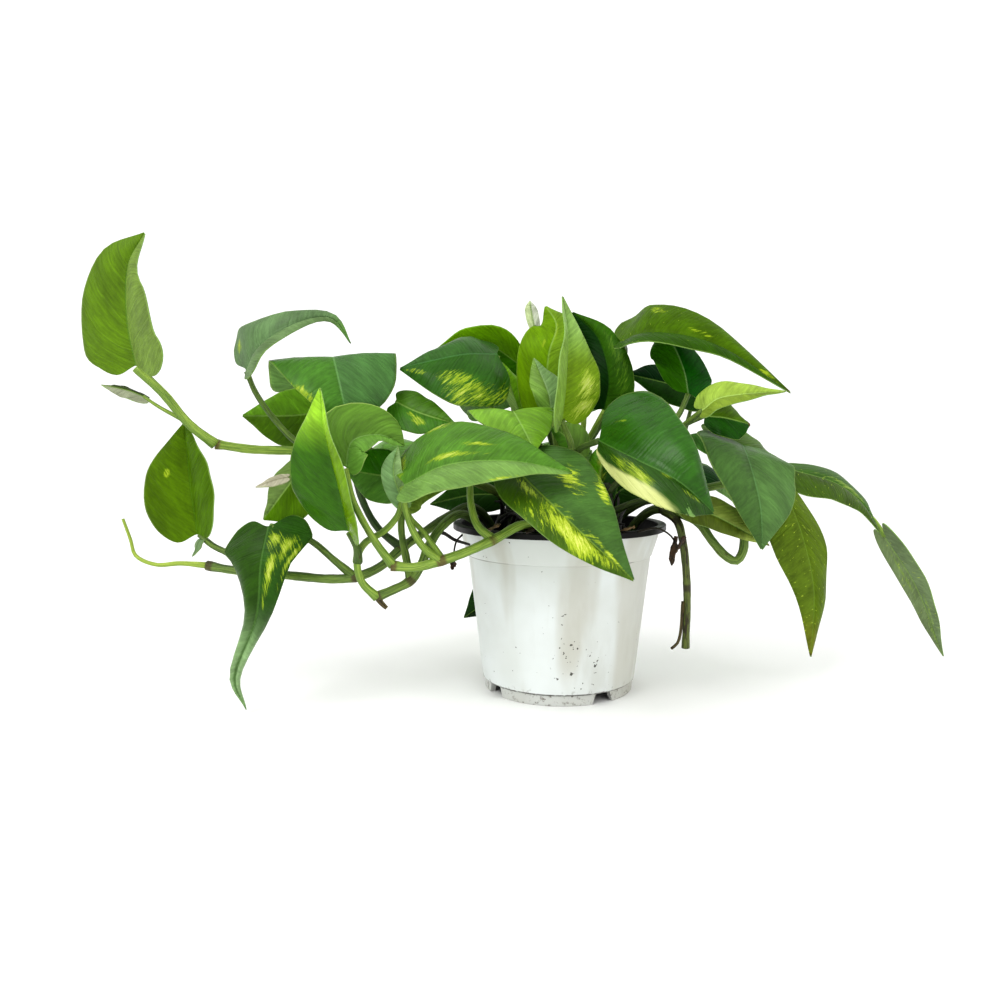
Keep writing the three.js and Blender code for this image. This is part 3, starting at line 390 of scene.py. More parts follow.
class Look:
    """How a blade looks: its two greens, and whatever differs from a plain leaf of golden pothos."""

    tip = None  # another green at the tip, where it starts along the blade, and where it is full
    streaks = ()  # yellow patches: place along (0 to 1) and across (-1 to 1), half length, half width
    streak, pale = "93ab24", "c2ca66"  # their yellows
    fill = 0.5  # how much of a patch is yellow
    slant = 0.8  # how far the streaks lean towards the tip
    edge = None  # a cream patch, given like a yellow one
    flecks = 0.0
    rib = "8fb05a"
    veins = 0.09  # how much lighter the side veins are
    margin = 0.3  # how much of the pale margin shows
    brown = None  # where the dead tip starts
    rough, shine, coat = 0.4, 0.16, 0.02

    def __init__(self, left, right, **details):
        """Greens to the left and right of the midrib, seen on the upper face with the tip ahead. Where one
        half is darker, part of that is painted shade.
        """
        self.left, self.right = left, right
        for key, value in details.items():
            setattr(self, key, value)


# Each blade's own greens, darkened with painted shade where the blade lies in shade; most of all in the
# near-black ones.
LOOKS = {
    1: Look("506e06", "637b33", rib="4f7a22", veins=0.2, rough=0.5, coat=0),
    2: Look("8b9177", "2d3e03", rough=0.5),
    3: Look("486503", "466603", streaks=[(0.5, -0.5, 0.05, 0.1)], flecks=0.02, rib="4a7016", rough=0.36,
        shine=0.05),
    4: Look("274d0a", "274803", tip=("7f9c6c", 0.5, 0.75), streaks=[(0.15, -0.2, 0.14, 0.2),
        (0.25, -0.5, 0.16, 0.24), (0.36, -0.82, 0.13, 0.17), (0.38, -0.28, 0.17, 0.16)], fill=0.9,
        slant=2.6, rib="527a34"),
    6: Look("5b764c", "60794c", tip=("5f8a3c", 0.75, 0.95), streaks=[(0.1, -0.7, 0.09, 0.2)], rib="6e9664",
        veins=0.16, rough=0.5),
    7: Look("4b6d03", "63901c", rough=0.42),
    8: Look("466d36", "416d20", streaks=[(0.3, 0.97, 0.16, 0.2), (0.72, 0.95, 0.12, 0.22),
        (0.1, 0.9, 0.12, 0.24)], rib="6c9a58"),
    9: Look("325e03", "5f8203", tip=("8ab82c", 0.55, 0.88), rib="6f9c2c", rough=0.3, shine=0.05, coat=0.3),
    10: Look("577b28", "648e38", rib="86ac60", margin=0.8, rough=0.42),
    11: Look("527d2f", "336b03", flecks=0.05),
    12: Look("70915d", "78935f", veins=0.22, rough=0.5),
    13: Look("4b7522", "688a43", streaks=[(0.38, -0.18, 0.2, 0.07), (0.54, -0.4, 0.1, 0.07),
        (0.33, -0.99, 0.1, 0.12), (0, -0.75, 0.06, 0.35), (0.62, 0.96, 0.09, 0.08)], fill=0.8, slant=1.6,
        rib="7fa84c", veins=0.16),
    14: Look("3b6e04", "618e03", flecks=0.02, rough=0.42, shine=0.08),
    15: Look("2c5810", "345b23", streaks=[(0.36, -0.84, 0.28, 0.3), (0.55, -0.5, 0.18, 0.22),
        (0.14, -0.9, 0.18, 0.22), (0.86, -0.5, 0.12, 0.18)], rib="4c7c44"),
    16: Look("a4c273", "78a81e", streaks=[(0.5, -0.3, 0.3, 0.5)], veins=0.2),
    17: Look("648803", "6b8c1e", streaks=[(0.68, 0.03, 0.2, 0.1), (0.44, -0.25, 0.06, 0.06)], flecks=0.01,
        rough=0.45, shine=0.06),
    18: Look("0c2f04", "30560a", streaks=[(0.42, 0.55, 0.3, 0.34)], streak="51751c", pale="7d9232",
        rib="2f5a0c", shine=0.05),
    19: Look("7b9c42", "678416", tip=("7fa054", 0.5, 0.85), streaks=[(0.3, 0.62, 0.26, 0.34),
        (0.12, 0.6, 0.14, 0.4)], streak="a6bb48", pale="c8cf80", fill=0.8, veins=0.18, shine=0.08),
    20: Look("759743", "77975d", rib="94b078", veins=0.22, rough=0.5),
    21: Look("6c9529", "6f9830", rib="98bc68", veins=0.16, rough=0.42),
    22: Look("42642a", "436110", streaks=[(0.31, -0.5, 0.17, 0.24), (0.52, -0.93, 0.1, 0.16),
        (0.2, 0.25, 0.16, 0.2), (0.6, 0.45, 0.42, 0.6), (0.8, -0.12, 0.2, 0.12)], streak="a9bf2c",
        pale="d6dc70", fill=0.85, rib="8ca83c", margin=0.2),
    23: Look("2c5a10", "284c08", streaks=[(0.26, 0.42, 0.18, 0.3), (0.56, 0.09, 0.06, 0.1),
        (0.76, 0.28, 0.13, 0.14), (0.1, -0.42, 0.07, 0.025)], edge=(0.2, 1, 0.36, 0.52), rib="5c8a3c",
        rough=0.3, coat=0.15),
    24: Look("51733b", "43642c", rib="648e56", veins=0.08, rough=0.5, coat=0.05),
    25: Look("566d12", "5b711d", tip=("6c7422", 0.75, 0.95), flecks=0.11, rib="6f8c2c", brown=0.97,
        rough=0.45, shine=0.08),
    26: Look("375c13", "395303", streaks=[(0.45, -0.2, 0.35, 0.16)], streak="7f9a3c", pale="a9b96c",
        flecks=0.1, rib="7c9c50"),
    27: Look("436108", "305206", streaks=[(0.4, -0.7, 0.06, 0.2), (0.62, -0.22, 0.07, 0.1),
        (0.91, -0.2, 0.05, 0.7)], flecks=0.06, rib="547c1c", brown=0.97, shine=0.03),
    28: Look("8aa43f", "72882a", rib="b8d87c", rough=0.45),
    29: Look("356903", "125003", rib="8cac70", shine=0.06),
    30: Look("1e4408", "06300a", rough=0.5, shine=0.05),
    31: Look("46630e", "1a4604", margin=0.6, brown=0.93, shine=0.07),
    32: Look("49691c", "54833b"),
    33: Look("4a6c03", "61783f", rough=0.5, shine=0.06),
    34: Look("506c24", "748b39"),
    35: Look("466e16", "3c6a15", streaks=[(0.42, 0.4, 0.13, 0.26), (0.3, 0.22, 0.08, 0.12)]),
    36: Look("3c6424", "44702c"),
    37: Look("507f20", "5e7f30"),
    38: Look("4c8203", "1c4404", streaks=[(0.5, 0, 0.4, 0.5)], streak="7c8c2c", pale="a8ae5c"),
    39: Look("76863c", "4e5d18", tip=("9cac54", 0.6, 0.9), brown=0.96),
    40: Look("152c07", "1c3e0e"),
    41: Look("b9c796", "bec4af", rough=0.5),
    42: Look("6b7d58", "6f8058", streaks=[(0.3, 0.35, 0.22, 0.12), (0.6, -0.35, 0.22, 0.14),
        (0.8, 0.2, 0.16, 0.2)], streak="7f9a4a", pale="b2c18a", flecks=0.1, veins=0.12, rough=0.45,
        shine=0.06),
    47: Look("47691e", "103004", shine=0.05),
    48: Look("3a5c22", "103a06", shine=0.05),
}
# Blades turned away from the front, or in the shade among the stems.
PLAIN_LOOKS = [
    Look("3f7024", "4a7c2c", streaks=[(0.4, 0.4, 0.2, 0.3)]),
    Look("4f8030", "42742a", streaks=[(0.3, -0.5, 0.24, 0.24), (0.6, 0.2, 0.16, 0.14)]),
    Look("5a8a2a", "528428", flecks=0.05),
]
# Its darker greens are painted shade.
SHADED_LOOK = Look("24480f", "2c5212", flecks=0.02)
UNDERSIDE = Look("6f9450", "6f9450", veins=0.22, rough=0.5, coat=0)
# Dry sheaths left at the foot of a stalk: look, then midrib and edges as for a blade.
SHEATHS = {
    "sheath_a": (Look("a39f88", "aaa690", rib="6f6c52", rough=0.6), (
        [(-152, -58, 132), (-157, -60, 131), (-163, -63, 129), (-168, -64, 127)],
        (-158, -56, 133), (-156, -63, 128))),
    "sheath_b": (Look("768c66", "667f56", rib="56703e", rough=0.6), (
        [(-204, -43, 98), (-206, -46, 95), (-207, -48, 91), (-209, -48, 87)],
        (-208, -43, 95), (-203, -49, 94))),
}
SHEATH_FORM = {"crease": 0.1, "ripple": 0.2, "quilt": 0.02}

# How a blade's shape departs from a plain one.
FORMS = {
    4: {"arch": 0.09},
    8: {"crease": 0.3},
    10: {"ripple": 1.6},
    15: {"arch": 0.07},
    23: {"arch": 0.08, "crease": 0.8},
}

# Light colour, dark colour that is also painted shade on each stem's underside, blotches, and how far the
# blotches spread.
STEM_COLOURS = {
    "bright": ("9ab44c", "5d7c2a", "5a4224", 0.02),
    "olive": ("76903c", "3a541c", "43321a", 0.07),
    # painted shade: the darkest set, for stems deep among the others
    "dark": ("3f5a20", "1f3210", "241a10", 0.12),
    "brown": ("6c6030", "3c3216", "20160c", 0.16),
    "young": ("a9bd4c", "7f9a34", "8a7a3c", 0.03),
    "hung": ("76843a", "434f1d", "33241a", 0.15),
}
# Near-black: partly the old roots' own colour, partly painted shade among the stems.
ROOT_AND_SHADE_COLOURS = ("332a1a", "161009", "0c0805", 0.1)
# Colours of each vine: its stem, then its leaf stalks; the last one holds for the rest.
STEM_LOOKS = {
    "a": ("bright", "bright"),
    "b": ("olive", "brown", "bright", "olive"),
    "c": ("olive", "young", "olive", "olive", "dark"),
    "d": ("bright", "bright", "bright", "olive"),
    "e": ("dark", "bright"),
    "i": ("olive", "hung", "brown"),
    "j": ("olive", "bright", "bright", "olive"),
}
# Most vines sit deep in the plant, so their stems start with the darkest set, which is painted shade.
DEFAULT_STEM = ("dark", "olive", "bright", "olive")
BARE_STEMS = {("i", 1)}  # side stems with nodes of their own

# ---- shapes ----

# Blade outline from stalk to tip: where a side vein leaves the midrib, where it meets the edge,
# and the half width there as a share of the widest.
OUTLINE = np.array([
    (0.0, 0.0, 0.05), (0.03, -0.07, 0.44), (0.12, 0.02, 0.82), (0.26, 0.2, 1.0),
    (0.44, 0.44, 0.94), (0.64, 0.66, 0.66), (0.83, 0.86, 0.28), (0.99, 1.0, 0.02)])
WIDEST = 0.36  # where along its midrib a blade is widest
TAPER_FROM, TAPER_TO = 0.15, 0.7
HALF_BLADE = 0.3  # half the thickness
BLADE_ROWS, BLADE_COLUMNS = 33, 21
TOWARDS_BASE = 1.15  # rows of a blade lie closer near its base
EDGEWISE = 0.45  # share of the columns' spacing that narrows towards the edges
VEIN_SPACING = 8.5  # between two swellings of the blade


def step(x, start, end):
    t = np.clip((x - start) / (end - start), 0, 1)
    return t * t * (3 - 2 * t)


def lengths(vectors):
    return np.linalg.norm(vectors, axis=-1, keepdims=True)


def unit(vectors):
    return vectors / np.maximum(lengths(vectors), 1e-9)


def cubic(t, start, leaving, end, arriving):
    """The curve from start to end over t from 0 to 1, with these slopes at its ends."""
    return (
        start * (2 * t**3 - 3 * t**2 + 1) + leaving * (t**3 - 2 * t**2 + t)
        + end * (3 * t**2 - 2 * t**3) + arriving * (t**3 - t**2)
    )


def cubic_slope(t, start, leaving, end, arriving):
    return (
        (start - end) * (6 * t**2 - 6 * t)
        + leaving * (3 * t**2 - 4 * t + 1) + arriving * (3 * t**2 - 2 * t)
    )


def through(values, at):
    """Values read between their rows by a cubic that keeps their ups and downs (Fritsch-Carlson)."""
    rise = np.diff(values, axis=0)
    before, after = rise[:-1], rise[1:]
    same = before * after > 0
    inner = np.where(same, 2 * before * after / np.where(same, before + after, 1), 0)
    slope = np.vstack([rise[:1], inner, rise[-1:]])
    i = np.clip(at.astype(int), 0, len(values) - 2)
    return cubic((at - i)[:, None], values[i], slope[i], values[i + 1], slope[i + 1])


def on_rib(rib, place):
    """Points at these places (0 at the stalk, 1 at the tip) on a midrib, and the way it runs."""
    last = len(rib) - 1
    knots = np.append(0, np.linspace(WIDEST, 1, last))[:, None]
    ahead = np.minimum(np.arange(last + 1) + 1, last)
    behind = np.maximum(np.arange(last + 1) - 1, 0)
    slope = (rib[ahead] - rib[behind]) / (knots[ahead] - knots[behind])
    i = np.clip(np.searchsorted(knots[:, 0], place) - 1, 0, last - 1)
    place = place[:, None]
    width = knots[i + 1] - knots[i]
    piece = (place - knots[i]) / width, rib[i], slope[i] * width, rib[i + 1], slope[i + 1] * width
    point = np.where(place <= 0, rib[0] + slope[0] * place, cubic(*piece))
    return point, unit(np.where(place <= 0, slope[0], cubic_slope(*piece)))


def turned(side, start, along):
    """Side, turned by the least turn that takes start to each direction of along."""
    axis = np.cross(start, along)
    cosine = (along @ start)[:, None]
    return (
        side * cosine + np.cross(axis, side)
        + axis * (axis @ side)[:, None] / (1 + cosine)
    )


def blade_grid(rib, left, right, taper=0.0):
    """Middle surface of a blade, the way its midrib runs, and each point's place along and across."""
    rib, edges = np.array(rib, float), (np.array(left, float), np.array(right, float))
    middle, ahead = on_rib(rib, np.array([WIDEST]))
    rows = np.linspace(0, 1, BLADE_ROWS) ** TOWARDS_BASE
    outline = through(OUTLINE, rows * (len(OUTLINE) - 1))
    outline[:, 2] *= 1 - taper * step(outline[:, 1], TAPER_FROM, TAPER_TO)
    even = np.linspace(-1, 1, BLADE_COLUMNS)
    across = np.sin(even * math.pi / 2) * EDGEWISE + even * (1 - EDGEWISE)
    points = np.zeros((BLADE_ROWS, BLADE_COLUMNS, 3))
    place, reach = np.zeros((2, BLADE_ROWS, BLADE_COLUMNS))
    for j, a in enumerate(across):
        side = edges[0 if a < 0 else 1] - middle[0]
        share = abs(a)
        place[:, j] = outline[:, 0] * (1 - share) + outline[:, 1] * share
        reach[:, j] = outline[:, 2] * a * np.linalg.norm(side)
        point, along = on_rib(rib, place[:, j])
        points[:, j] = point + turned(side, ahead[0], along) * (outline[:, 2] * share)[:, None]
    ahead = on_rib(rib, outline[:, 0])[1][:, None]
    return points, ahead, place, np.broadcast_to(across, place.shape), reach


def upward(points, ahead):
    """Normals of a blade's upper face, kept steady where its base curls back."""
    return unit(np.cross(np.gradient(points, axis=1), ahead))


def grid_faces(rows, columns, start=0):
    i, j = np.meshgrid(np.arange(rows - 1), np.arange(columns - 1), indexing="ij")
    a = (i * columns + j + start).ravel()
    return np.stack([a, a + 1, a + columns + 1, a + columns], axis=1)


def closed_sheet(points, half, up=None):
    """Vertices and faces of a thin closed slab on both sides of a grid; the upper faces come first."""
    if up is None:
        up = unit(np.cross(np.gradient(points, axis=1), np.gradient(points, axis=0)))
    rows, columns = points.shape[:2]
    size = rows * columns
    vertices = np.concatenate([points + up * half, points - up * half]).reshape(-1, 3)
    index = np.arange(size).reshape(rows, columns)
    ring = [*index[0], *index[1:, -1], *index[-1, -2::-1], *index[-2:0:-1, 0]]
    edge = [(b, a, a + size, b + size) for a, b in zip(ring, ring[1:] + ring[:1])]
    flat = [*grid_faces(rows, columns), *grid_faces(rows, columns, size)[:, ::-1], *edge]
    return vertices, [tuple(map(int, face)) for face in flat]


def blade_mesh(leaf, seed, arch=0.05, crease=0.5, ripple=0.6, quilt=0.12):
    """Vertices, faces, UVs by vertex and the count of upper faces of a closed thin blade."""
    points, ahead, place, across, reach = blade_grid(*leaf)
    rib_length = float(lengths(np.diff(np.array(leaf[0], float), axis=0)).sum())
    width = float(np.abs(reach).max())
    share = np.abs(across)
    phase = np.random.default_rng(seed).uniform(0, FULL_TURN, 4)
    middle = step(place, -0.05, 0.2) * (1 - step(place, 0.75, 1.0))
    wave = np.sin(place * 9 + phase[0] + across * 1.5) + 0.6 * np.sin(place * 19 + phase[1] - across)
    veins = np.cos((place - 0.32 * share) * rib_length / VEIN_SPACING * FULL_TURN)
    lift = arch * width * np.sin(share * math.pi) * middle
    lift -= crease * np.exp(-((share / 0.07) ** 2)) * middle
    lift += ripple * share**3 * wave * middle
    lift += quilt * veins * np.sin(share * math.pi) * middle
    points = points + upward(points, ahead) * lift[..., None]
    vertices, faces = closed_sheet(points, HALF_BLADE, upward(points, ahead))
    # in centimetres: where the side vein through a point leaves the midrib, and how far out it is
    vein = (place * rib_length - 0.6 * np.abs(reach) - 0.2 * reach**2 / max(width, 1)) / 10
    uvs = {"blade": (place, across), "vein": (vein, reach / 10)}
    uvs = {key: np.tile(np.stack(pair, axis=-1).reshape(-1, 2), (2, 1)) for key, pair in uvs.items()}
    return vertices, faces, uvs, (BLADE_ROWS - 1) * (BLADE_COLUMNS - 1)


def add_piece(name, vertices, faces, uvs, materials, picks=None, smooth=True):
    """A mesh object from vertices in mm, with UV maps given by vertex and a material by face."""
    mesh = bpy.data.meshes.new(name)
    mesh.from_pydata((np.asarray(vertices) * MM).tolist(), [], faces)
    corners = np.zeros(len(mesh.loops), int)
    mesh.loops.foreach_get("vertex_index", corners)
    for key, values in uvs.items():
        layer = mesh.uv_layers.new(name=key)
        layer.data.foreach_set("uv", np.asarray(values, float)[corners].ravel())
    for material in materials:
        mesh.materials.append(material)
    if picks is not None:
        mesh.polygons.foreach_set("material_index", np.asarray(picks, int))
    mesh.polygons.foreach_set("use_smooth", np.full(len(mesh.polygons), smooth))
    mesh.validate()
    mesh.update()
    return add_object(name, mesh)


def dress(piece, node):
    """Puts a piece in the place of a CAD node, fixed to the part's only body."""
    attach(piece, "root")
    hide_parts(node)


class Shape:
    """Vertices, faces, UVs and material picks of one piece, put together bit by bit."""

    def __init__(self, *uv_names):
        self.vertices, self.faces, self.picks, self.count = [], [], [], 0
        self.uvs = {name: [] for name in uv_names}

    def add(self, vertices, faces, pick=0, **uvs):
        vertices = np.asarray(vertices, float).reshape(-1, 3)
        self.vertices.append(vertices)
        self.faces += [tuple(int(v) + self.count for v in face) for face in faces]
        self.picks += [pick] * len(faces) if np.isscalar(pick) else list(pick)
        for name, values in self.uvs.items():
            values.append(np.asarray(uvs.get(name, np.zeros((len(vertices), 2))), float))
        self.count += len(vertices)

    def piece(self, name, materials, smooth=True):
        uvs = {key: np.concatenate(values) for key, values in self.uvs.items()}
        vertices = np.concatenate(self.vertices)
        return add_piece(name, vertices, self.faces, uvs, materials, self.picks, smooth)


# ---- stems ----

TUBE_SIDES = 12
TUBE_STEP = 2.4
CURVE_POINTS = 25  # between two points of a path
GROOVE_WIDTH = 0.5  # in radians
STALK_GROOVE, STEM_GROOVE = 0.16, 0.05  # depths as shares of the radius


def smooth_path(path):
    """Points along a centripetal Catmull-Rom curve, evenly spaced, with their distance along it."""
    path = np.array(path, float)
    ends = np.vstack([2 * path[0] - path[1], path, 2 * path[-1] - path[-2]])
    t = np.linspace(0, 1, CURVE_POINTS)[:, None]
    dense = [path[:1]]
    for p0, p1, p2, p3 in zip(ends, ends[1:], ends[2:], ends[3:]):
        a, b, c = (math.sqrt(np.linalg.norm(q - p)) for p, q in ((p0, p1), (p1, p2), (p2, p3)))
        start = ((p1 - p0) / a - (p2 - p0) / (a + b) + (p2 - p1) / b) * b
        end = ((p2 - p1) / b - (p3 - p1) / (b + c) + (p3 - p2) / c) * b
        dense.append(cubic(t, p1, start, p2, end)[1:])
    dense = np.vstack(dense)
    run = np.concatenate([[0], np.cumsum(lengths(np.diff(dense, axis=0))[:, 0])])
    at = np.linspace(0, run[-1], max(5, int(run[-1] / TUBE_STEP) + 1))
    return np.stack([np.interp(at, run, dense[:, k]) for k in range(3)], axis=1), at


def tube_rings(centres, radii, groove):
    """Rings round a path, with a groove along its upper side."""
    ahead = unit(np.gradient(centres, axis=0))
    up = np.array([0, 0, 1.0]) if abs(ahead[0, 2]) < 0.9 else np.array([0, -1.0, 0])
    angles = np.linspace(0, FULL_TURN, TUBE_SIDES, endpoint=False)
    dip = 1 - groove * np.exp(-((np.minimum(angles, FULL_TURN - angles) / GROOVE_WIDTH) ** 2))
    rings = []
    for centre, way, radius in zip(centres, ahead, radii):
        up = unit(up - way * (up @ way))
        side = np.cross(way, up)
        round_it = np.cos(angles)[:, None] * up + np.sin(angles)[:, None] * side
        rings.append(centre + round_it * (radius * dip)[:, None])
    return np.array(rings), angles


def ring_faces(rings, sides):
    """Faces between rings of points one above the other, and over the first and the last."""
    faces = []
    for low in range(0, (rings - 1) * sides, sides):
        for j in range(sides):
            k = (j + 1) % sides
            faces.append((low + j, low + k, low + k + sides, low + j + sides))
    faces.append(tuple(range(sides - 1, -1, -1)))
    faces.append(tuple(range((rings - 1) * sides, rings * sides)))
    return faces


def bulge(distance, size, width):
    return 1 + size * np.exp(-((distance / width) ** 2))


def add_tube(shape, path, radius, pick=0, nodes=(), stalk=False, seed=0):
    """A stem that swells at its nodes, or a leaf stalk that swells at its ends."""
    centres, at = smooth_path(path)
    radii = radius[0] + (radius[1] - radius[0]) * at / at[-1]
    phase = np.random.default_rng(seed).uniform(0, 6)
    radii = radii * (1 + 0.03 * np.sin(at * 0.35 + phase) + 0.02 * np.sin(at * 0.93))
    near = np.full(len(at), 30.0)
    for node in nodes:
        near = np.minimum(near, np.linalg.norm(centres - np.array(node, float), axis=1))
    if stalk:
        radii = radii * (bulge(at, 0.22, 9) + bulge(at[-1] - at, 0.1, 5) - 1)
    else:
        radii = radii * bulge(near, 0.2, 3.2)
    rings, angles = tube_rings(centres, radii, STALK_GROOVE if stalk else STEM_GROOVE)
    ends = rings[[0, -1]].mean(axis=1)
    rings = np.concatenate([(rings[:1] + ends[0]) / 2, rings, (rings[-1:] + ends[1]) / 2])
    at, near = np.pad(at, 1, "edge"), np.pad(near, 1, "edge")
    along = np.repeat(at / 10, TUBE_SIDES) + seed * 3.7
    stem = np.stack([along, np.tile(np.cos(angles), len(at))], axis=1)
    spot = np.stack([np.repeat(near / 10, TUBE_SIDES), np.tile(np.sin(angles), len(at))], axis=1)
    shape.add(rings, ring_faces(len(at), TUBE_SIDES), pick, stem=stem, spot=spot)


# ---- materials ----

SIDE_VEINS, FINE_VEINS = 1.2, 4.3  # in a centimetre of midrib
CREAM, FLECK, MARGIN, DEAD_TIP = "c6cc84", "b9cf4a", "9db663", "5b4527"


class LeafTree(Tree):
    """The tree of a blade's material, with the places and textures that its steps share."""

    def __init__(self, name, seed):
        super().__init__(name)
        self.along, self.across = self.uv("blade")
        self.vein, self.reach = self.uv("vein")
        self.share, self.away = (self.math("ABSOLUTE", value) for value in (self.across, self.reach))
        self.shift = seed * 7.31
        self.cloud = self.grain(self.vein, self.reach, 0, 0.75, 3)
        self.fibres = self.grain(self.times(self.vein, 5.0), self.times(self.away, 1.1), 0, 1.3, 4, 0.6)
        self.mottle = self.grain(self.times(self.vein, 2.6), self.times(self.reach, 1.5), 1, 1.5, 5, 0.68)
        bent = self.plus(self.vein, self.times(self.cloud, 0.5))
        self.coarse, fine = (
            self.apart(self.math("FRACT", self.times(bent, count)), 0.5)
            for count in (SIDE_VEINS, FINE_VEINS)
        )
        self.fine_line = self.ramp(fine, 0.3, 0.0)

    def grain(self, strand, out, layer, *settings):
        """Noise laid out by side vein and by distance from the midrib, other for each blade."""
        return self.noise(self.join(strand, out, self.shift + layer), *settings)

    def patches(self, spots):
        """1 at the middle of a patch, 0 at its rim and below 0 outside."""
        best = -10.0
        for along, across, long, wide in spots:
            x = self.times(self.minus(self.along, along), 1 / long)
            y = self.times(self.minus(self.across, across), 1 / wide)
            best = self.math("MAXIMUM", best, self.minus(1.0, self.vector("LENGTH", self.join(x, y))))
        return best


def leaf_green(t, look):
    """Green that differs left and right of the midrib, uneven, and lighter along the veins."""
    green = t.mix(t.ramp(t.across, -0.03, 0.03), look.left, look.right)
    if look.tip:
        colour, start, end = look.tip
        green = t.mix(t.ramp(t.along, start, end), green, colour)
    green = t.scaled(green, t.ramp(t.cloud, 0.25, 0.75, 0.8, 1.22))
    green = t.scaled(green, t.ramp(t.fibres, 0.3, 0.7, 0.9, 1.12))
    green = t.scaled(green, t.ramp(t.mottle, 0.3, 0.7, 0.9, 1.11))
    vein_line = t.times(t.ramp(t.coarse, 0.07, 0.0), t.ramp(t.share, 0.95, 0.6))
    green = t.scaled(green, t.plus(1.0, t.times(vein_line, look.veins)))
    return t.scaled(green, t.plus(1.0, t.times(t.fine_line, 0.5 * look.veins)))


def streaked(t, look, green):
    """Yellow streaks in the look's patches, torn along the side veins."""
    mask = t.patches(look.streaks)
    strand = t.minus(t.vein, t.times(t.away, look.slant))
    swayed = t.plus(strand, t.swing(t.fibres, 0.5))
    torn = t.grain(t.times(swayed, 2.5), t.times(t.away, 0.85), 3, 2.4, 5, 0.72)
    level = t.plus(t.math("MINIMUM", mask, look.fill), t.swing(torn, 3.4))
    level = t.plus(level, t.swing(t.cloud, 1.2))
    yellow = t.mix(t.ramp(level, 0.7, 1.3), look.streak, look.pale)
    amount = t.times(t.ramp(level, 0.2, 0.8, 0, 0.95), t.ramp(mask, -0.3, 0.15))
    return t.mix(amount, green, yellow)


def leaf_material(name, look, seed=1):
    """Waxy blade: veins, a midrib, and the yellow of a golden pothos where the look has it."""
    t = LeafTree(name, seed)
    colour = leaf_green(t, look)
    if look.streaks:
        colour = streaked(t, look, colour)
    if look.edge:
        level = t.plus(t.patches([look.edge]), t.swing(t.cloud, 0.6))
        colour = t.mix(t.ramp(level, 0.1, 0.35), colour, CREAM)
    if look.flecks:
        spots = t.grain(t.times(t.vein, 2.4), t.away, 0, 3.2, 3, 0.6)
        colour = t.mix(t.ramp(spots, 0.78 - look.flecks, 0.8 - look.flecks), colour, FLECK)
    rib = t.times(t.ramp(t.away, 0.075, 0.03), t.ramp(t.along, 1.0, 0.75, 0.25, 0.5))
    colour = t.mix(rib, colour, look.rib)
    colour = t.mix(t.ramp(t.share, 0.965, 0.99, 0, look.margin), colour, MARGIN)
    if look.brown:
        colour = t.mix(t.ramp(t.along, look.brown, look.brown + 0.03), colour, DEAD_TIP)
    height = t.times(t.ramp(t.coarse, 0.16, 0.0), -0.5)
    for texture, lift in ((t.fine_line, -0.18), (t.fibres, 0.35), (t.mottle, 0.4),
                          (t.ramp(t.away, 0.1, 0.0), -0.8)):
        height = t.plus(height, t.times(texture, lift))
    roughness = t.ramp(t.cloud, 0.3, 0.7, look.rough - 0.06, look.rough + 0.08)
    return t.finish(colour, roughness, height, 0.35, Specular_IOR_Level=look.shine,
                    Coat_Weight=look.coat, Coat_Roughness=0.25)


def stem_material(name, light, dark, brown, spread):
    """Fleshy stem: ribs along it, brown blotches, a brown ring at each node, and painted shade on its
    underside.
    """
    t = Tree(name)
    along, top = t.uv("stem")
    near, side = t.uv("spot")
    lengthwise = t.join(t.times(along, 0.35), t.times(top, 2.4), t.times(side, 2.4))
    streaks = t.noise(lengthwise, 2.2, 4, 0.6)
    blotches = t.noise(t.join(along, top, side), 1.1, 4, 0.6)
    colour = t.mix(t.ramp(streaks, 0.36, 0.6), dark, light)
    # painted shade: the underside of the stem turns to the dark colour
    colour = t.mix(t.ramp(top, 0.3, -0.8, 0, 0.75), colour, dark)
    colour = t.mix(t.ramp(blotches, 0.68 - spread, 0.76 - spread, 0, 0.85), colour, brown)
    colour = t.mix(t.ramp(near, 0.3, 0.12, 0, 0.8), colour, brown)
    # painted shade down among the roots: darker low in the pot, near its axis and behind the front
    x, y, z = t.split(t.place())
    inside = t.times(t.ramp(t.vector("LENGTH", t.join(x, y)), 0.1, 0.05), t.ramp(y, -0.06, -0.035))
    shade = t.times(inside, t.ramp(z, 0.15, 0.115, 0, 0.65))
    colour = t.scaled(colour, t.minus(1.0, shade))
    height = t.plus(streaks, t.times(blotches, 0.6))
    return t.finish(colour, t.ramp(streaks, 0.3, 0.7, 0.38, 0.55), height, 0.4, Specular_IOR_Level=0.4)


# Where most specks lie on the pot, and how far they reach, in metres.
SPECKS_AT, SPECKS_REACH = (0.006, -0.049, 0.026), (0.03, 0.06, 0.03)
# Both lines are painted shade: in the step under the wall and under the band.
FOOT_LINE, BAND_LINE = 0.0066, 0.0824  # heights of the two dark lines, in metres


def speckled(t, place, specks, colour):
    """Specks of soil, thickest low on the front."""
    off = t.vector("DIVIDE", t.vector("SUBTRACT", place, SPECKS_AT), SPECKS_REACH)
    dense = t.ramp(t.vector("LENGTH", off), 0.1, 1.2, 0.1, 0.0)
    amount = t.ramp(specks, t.minus(0.762, dense), t.minus(0.785, dense), 0, 0.9)
    return t.mix(amount, colour, "332e27")


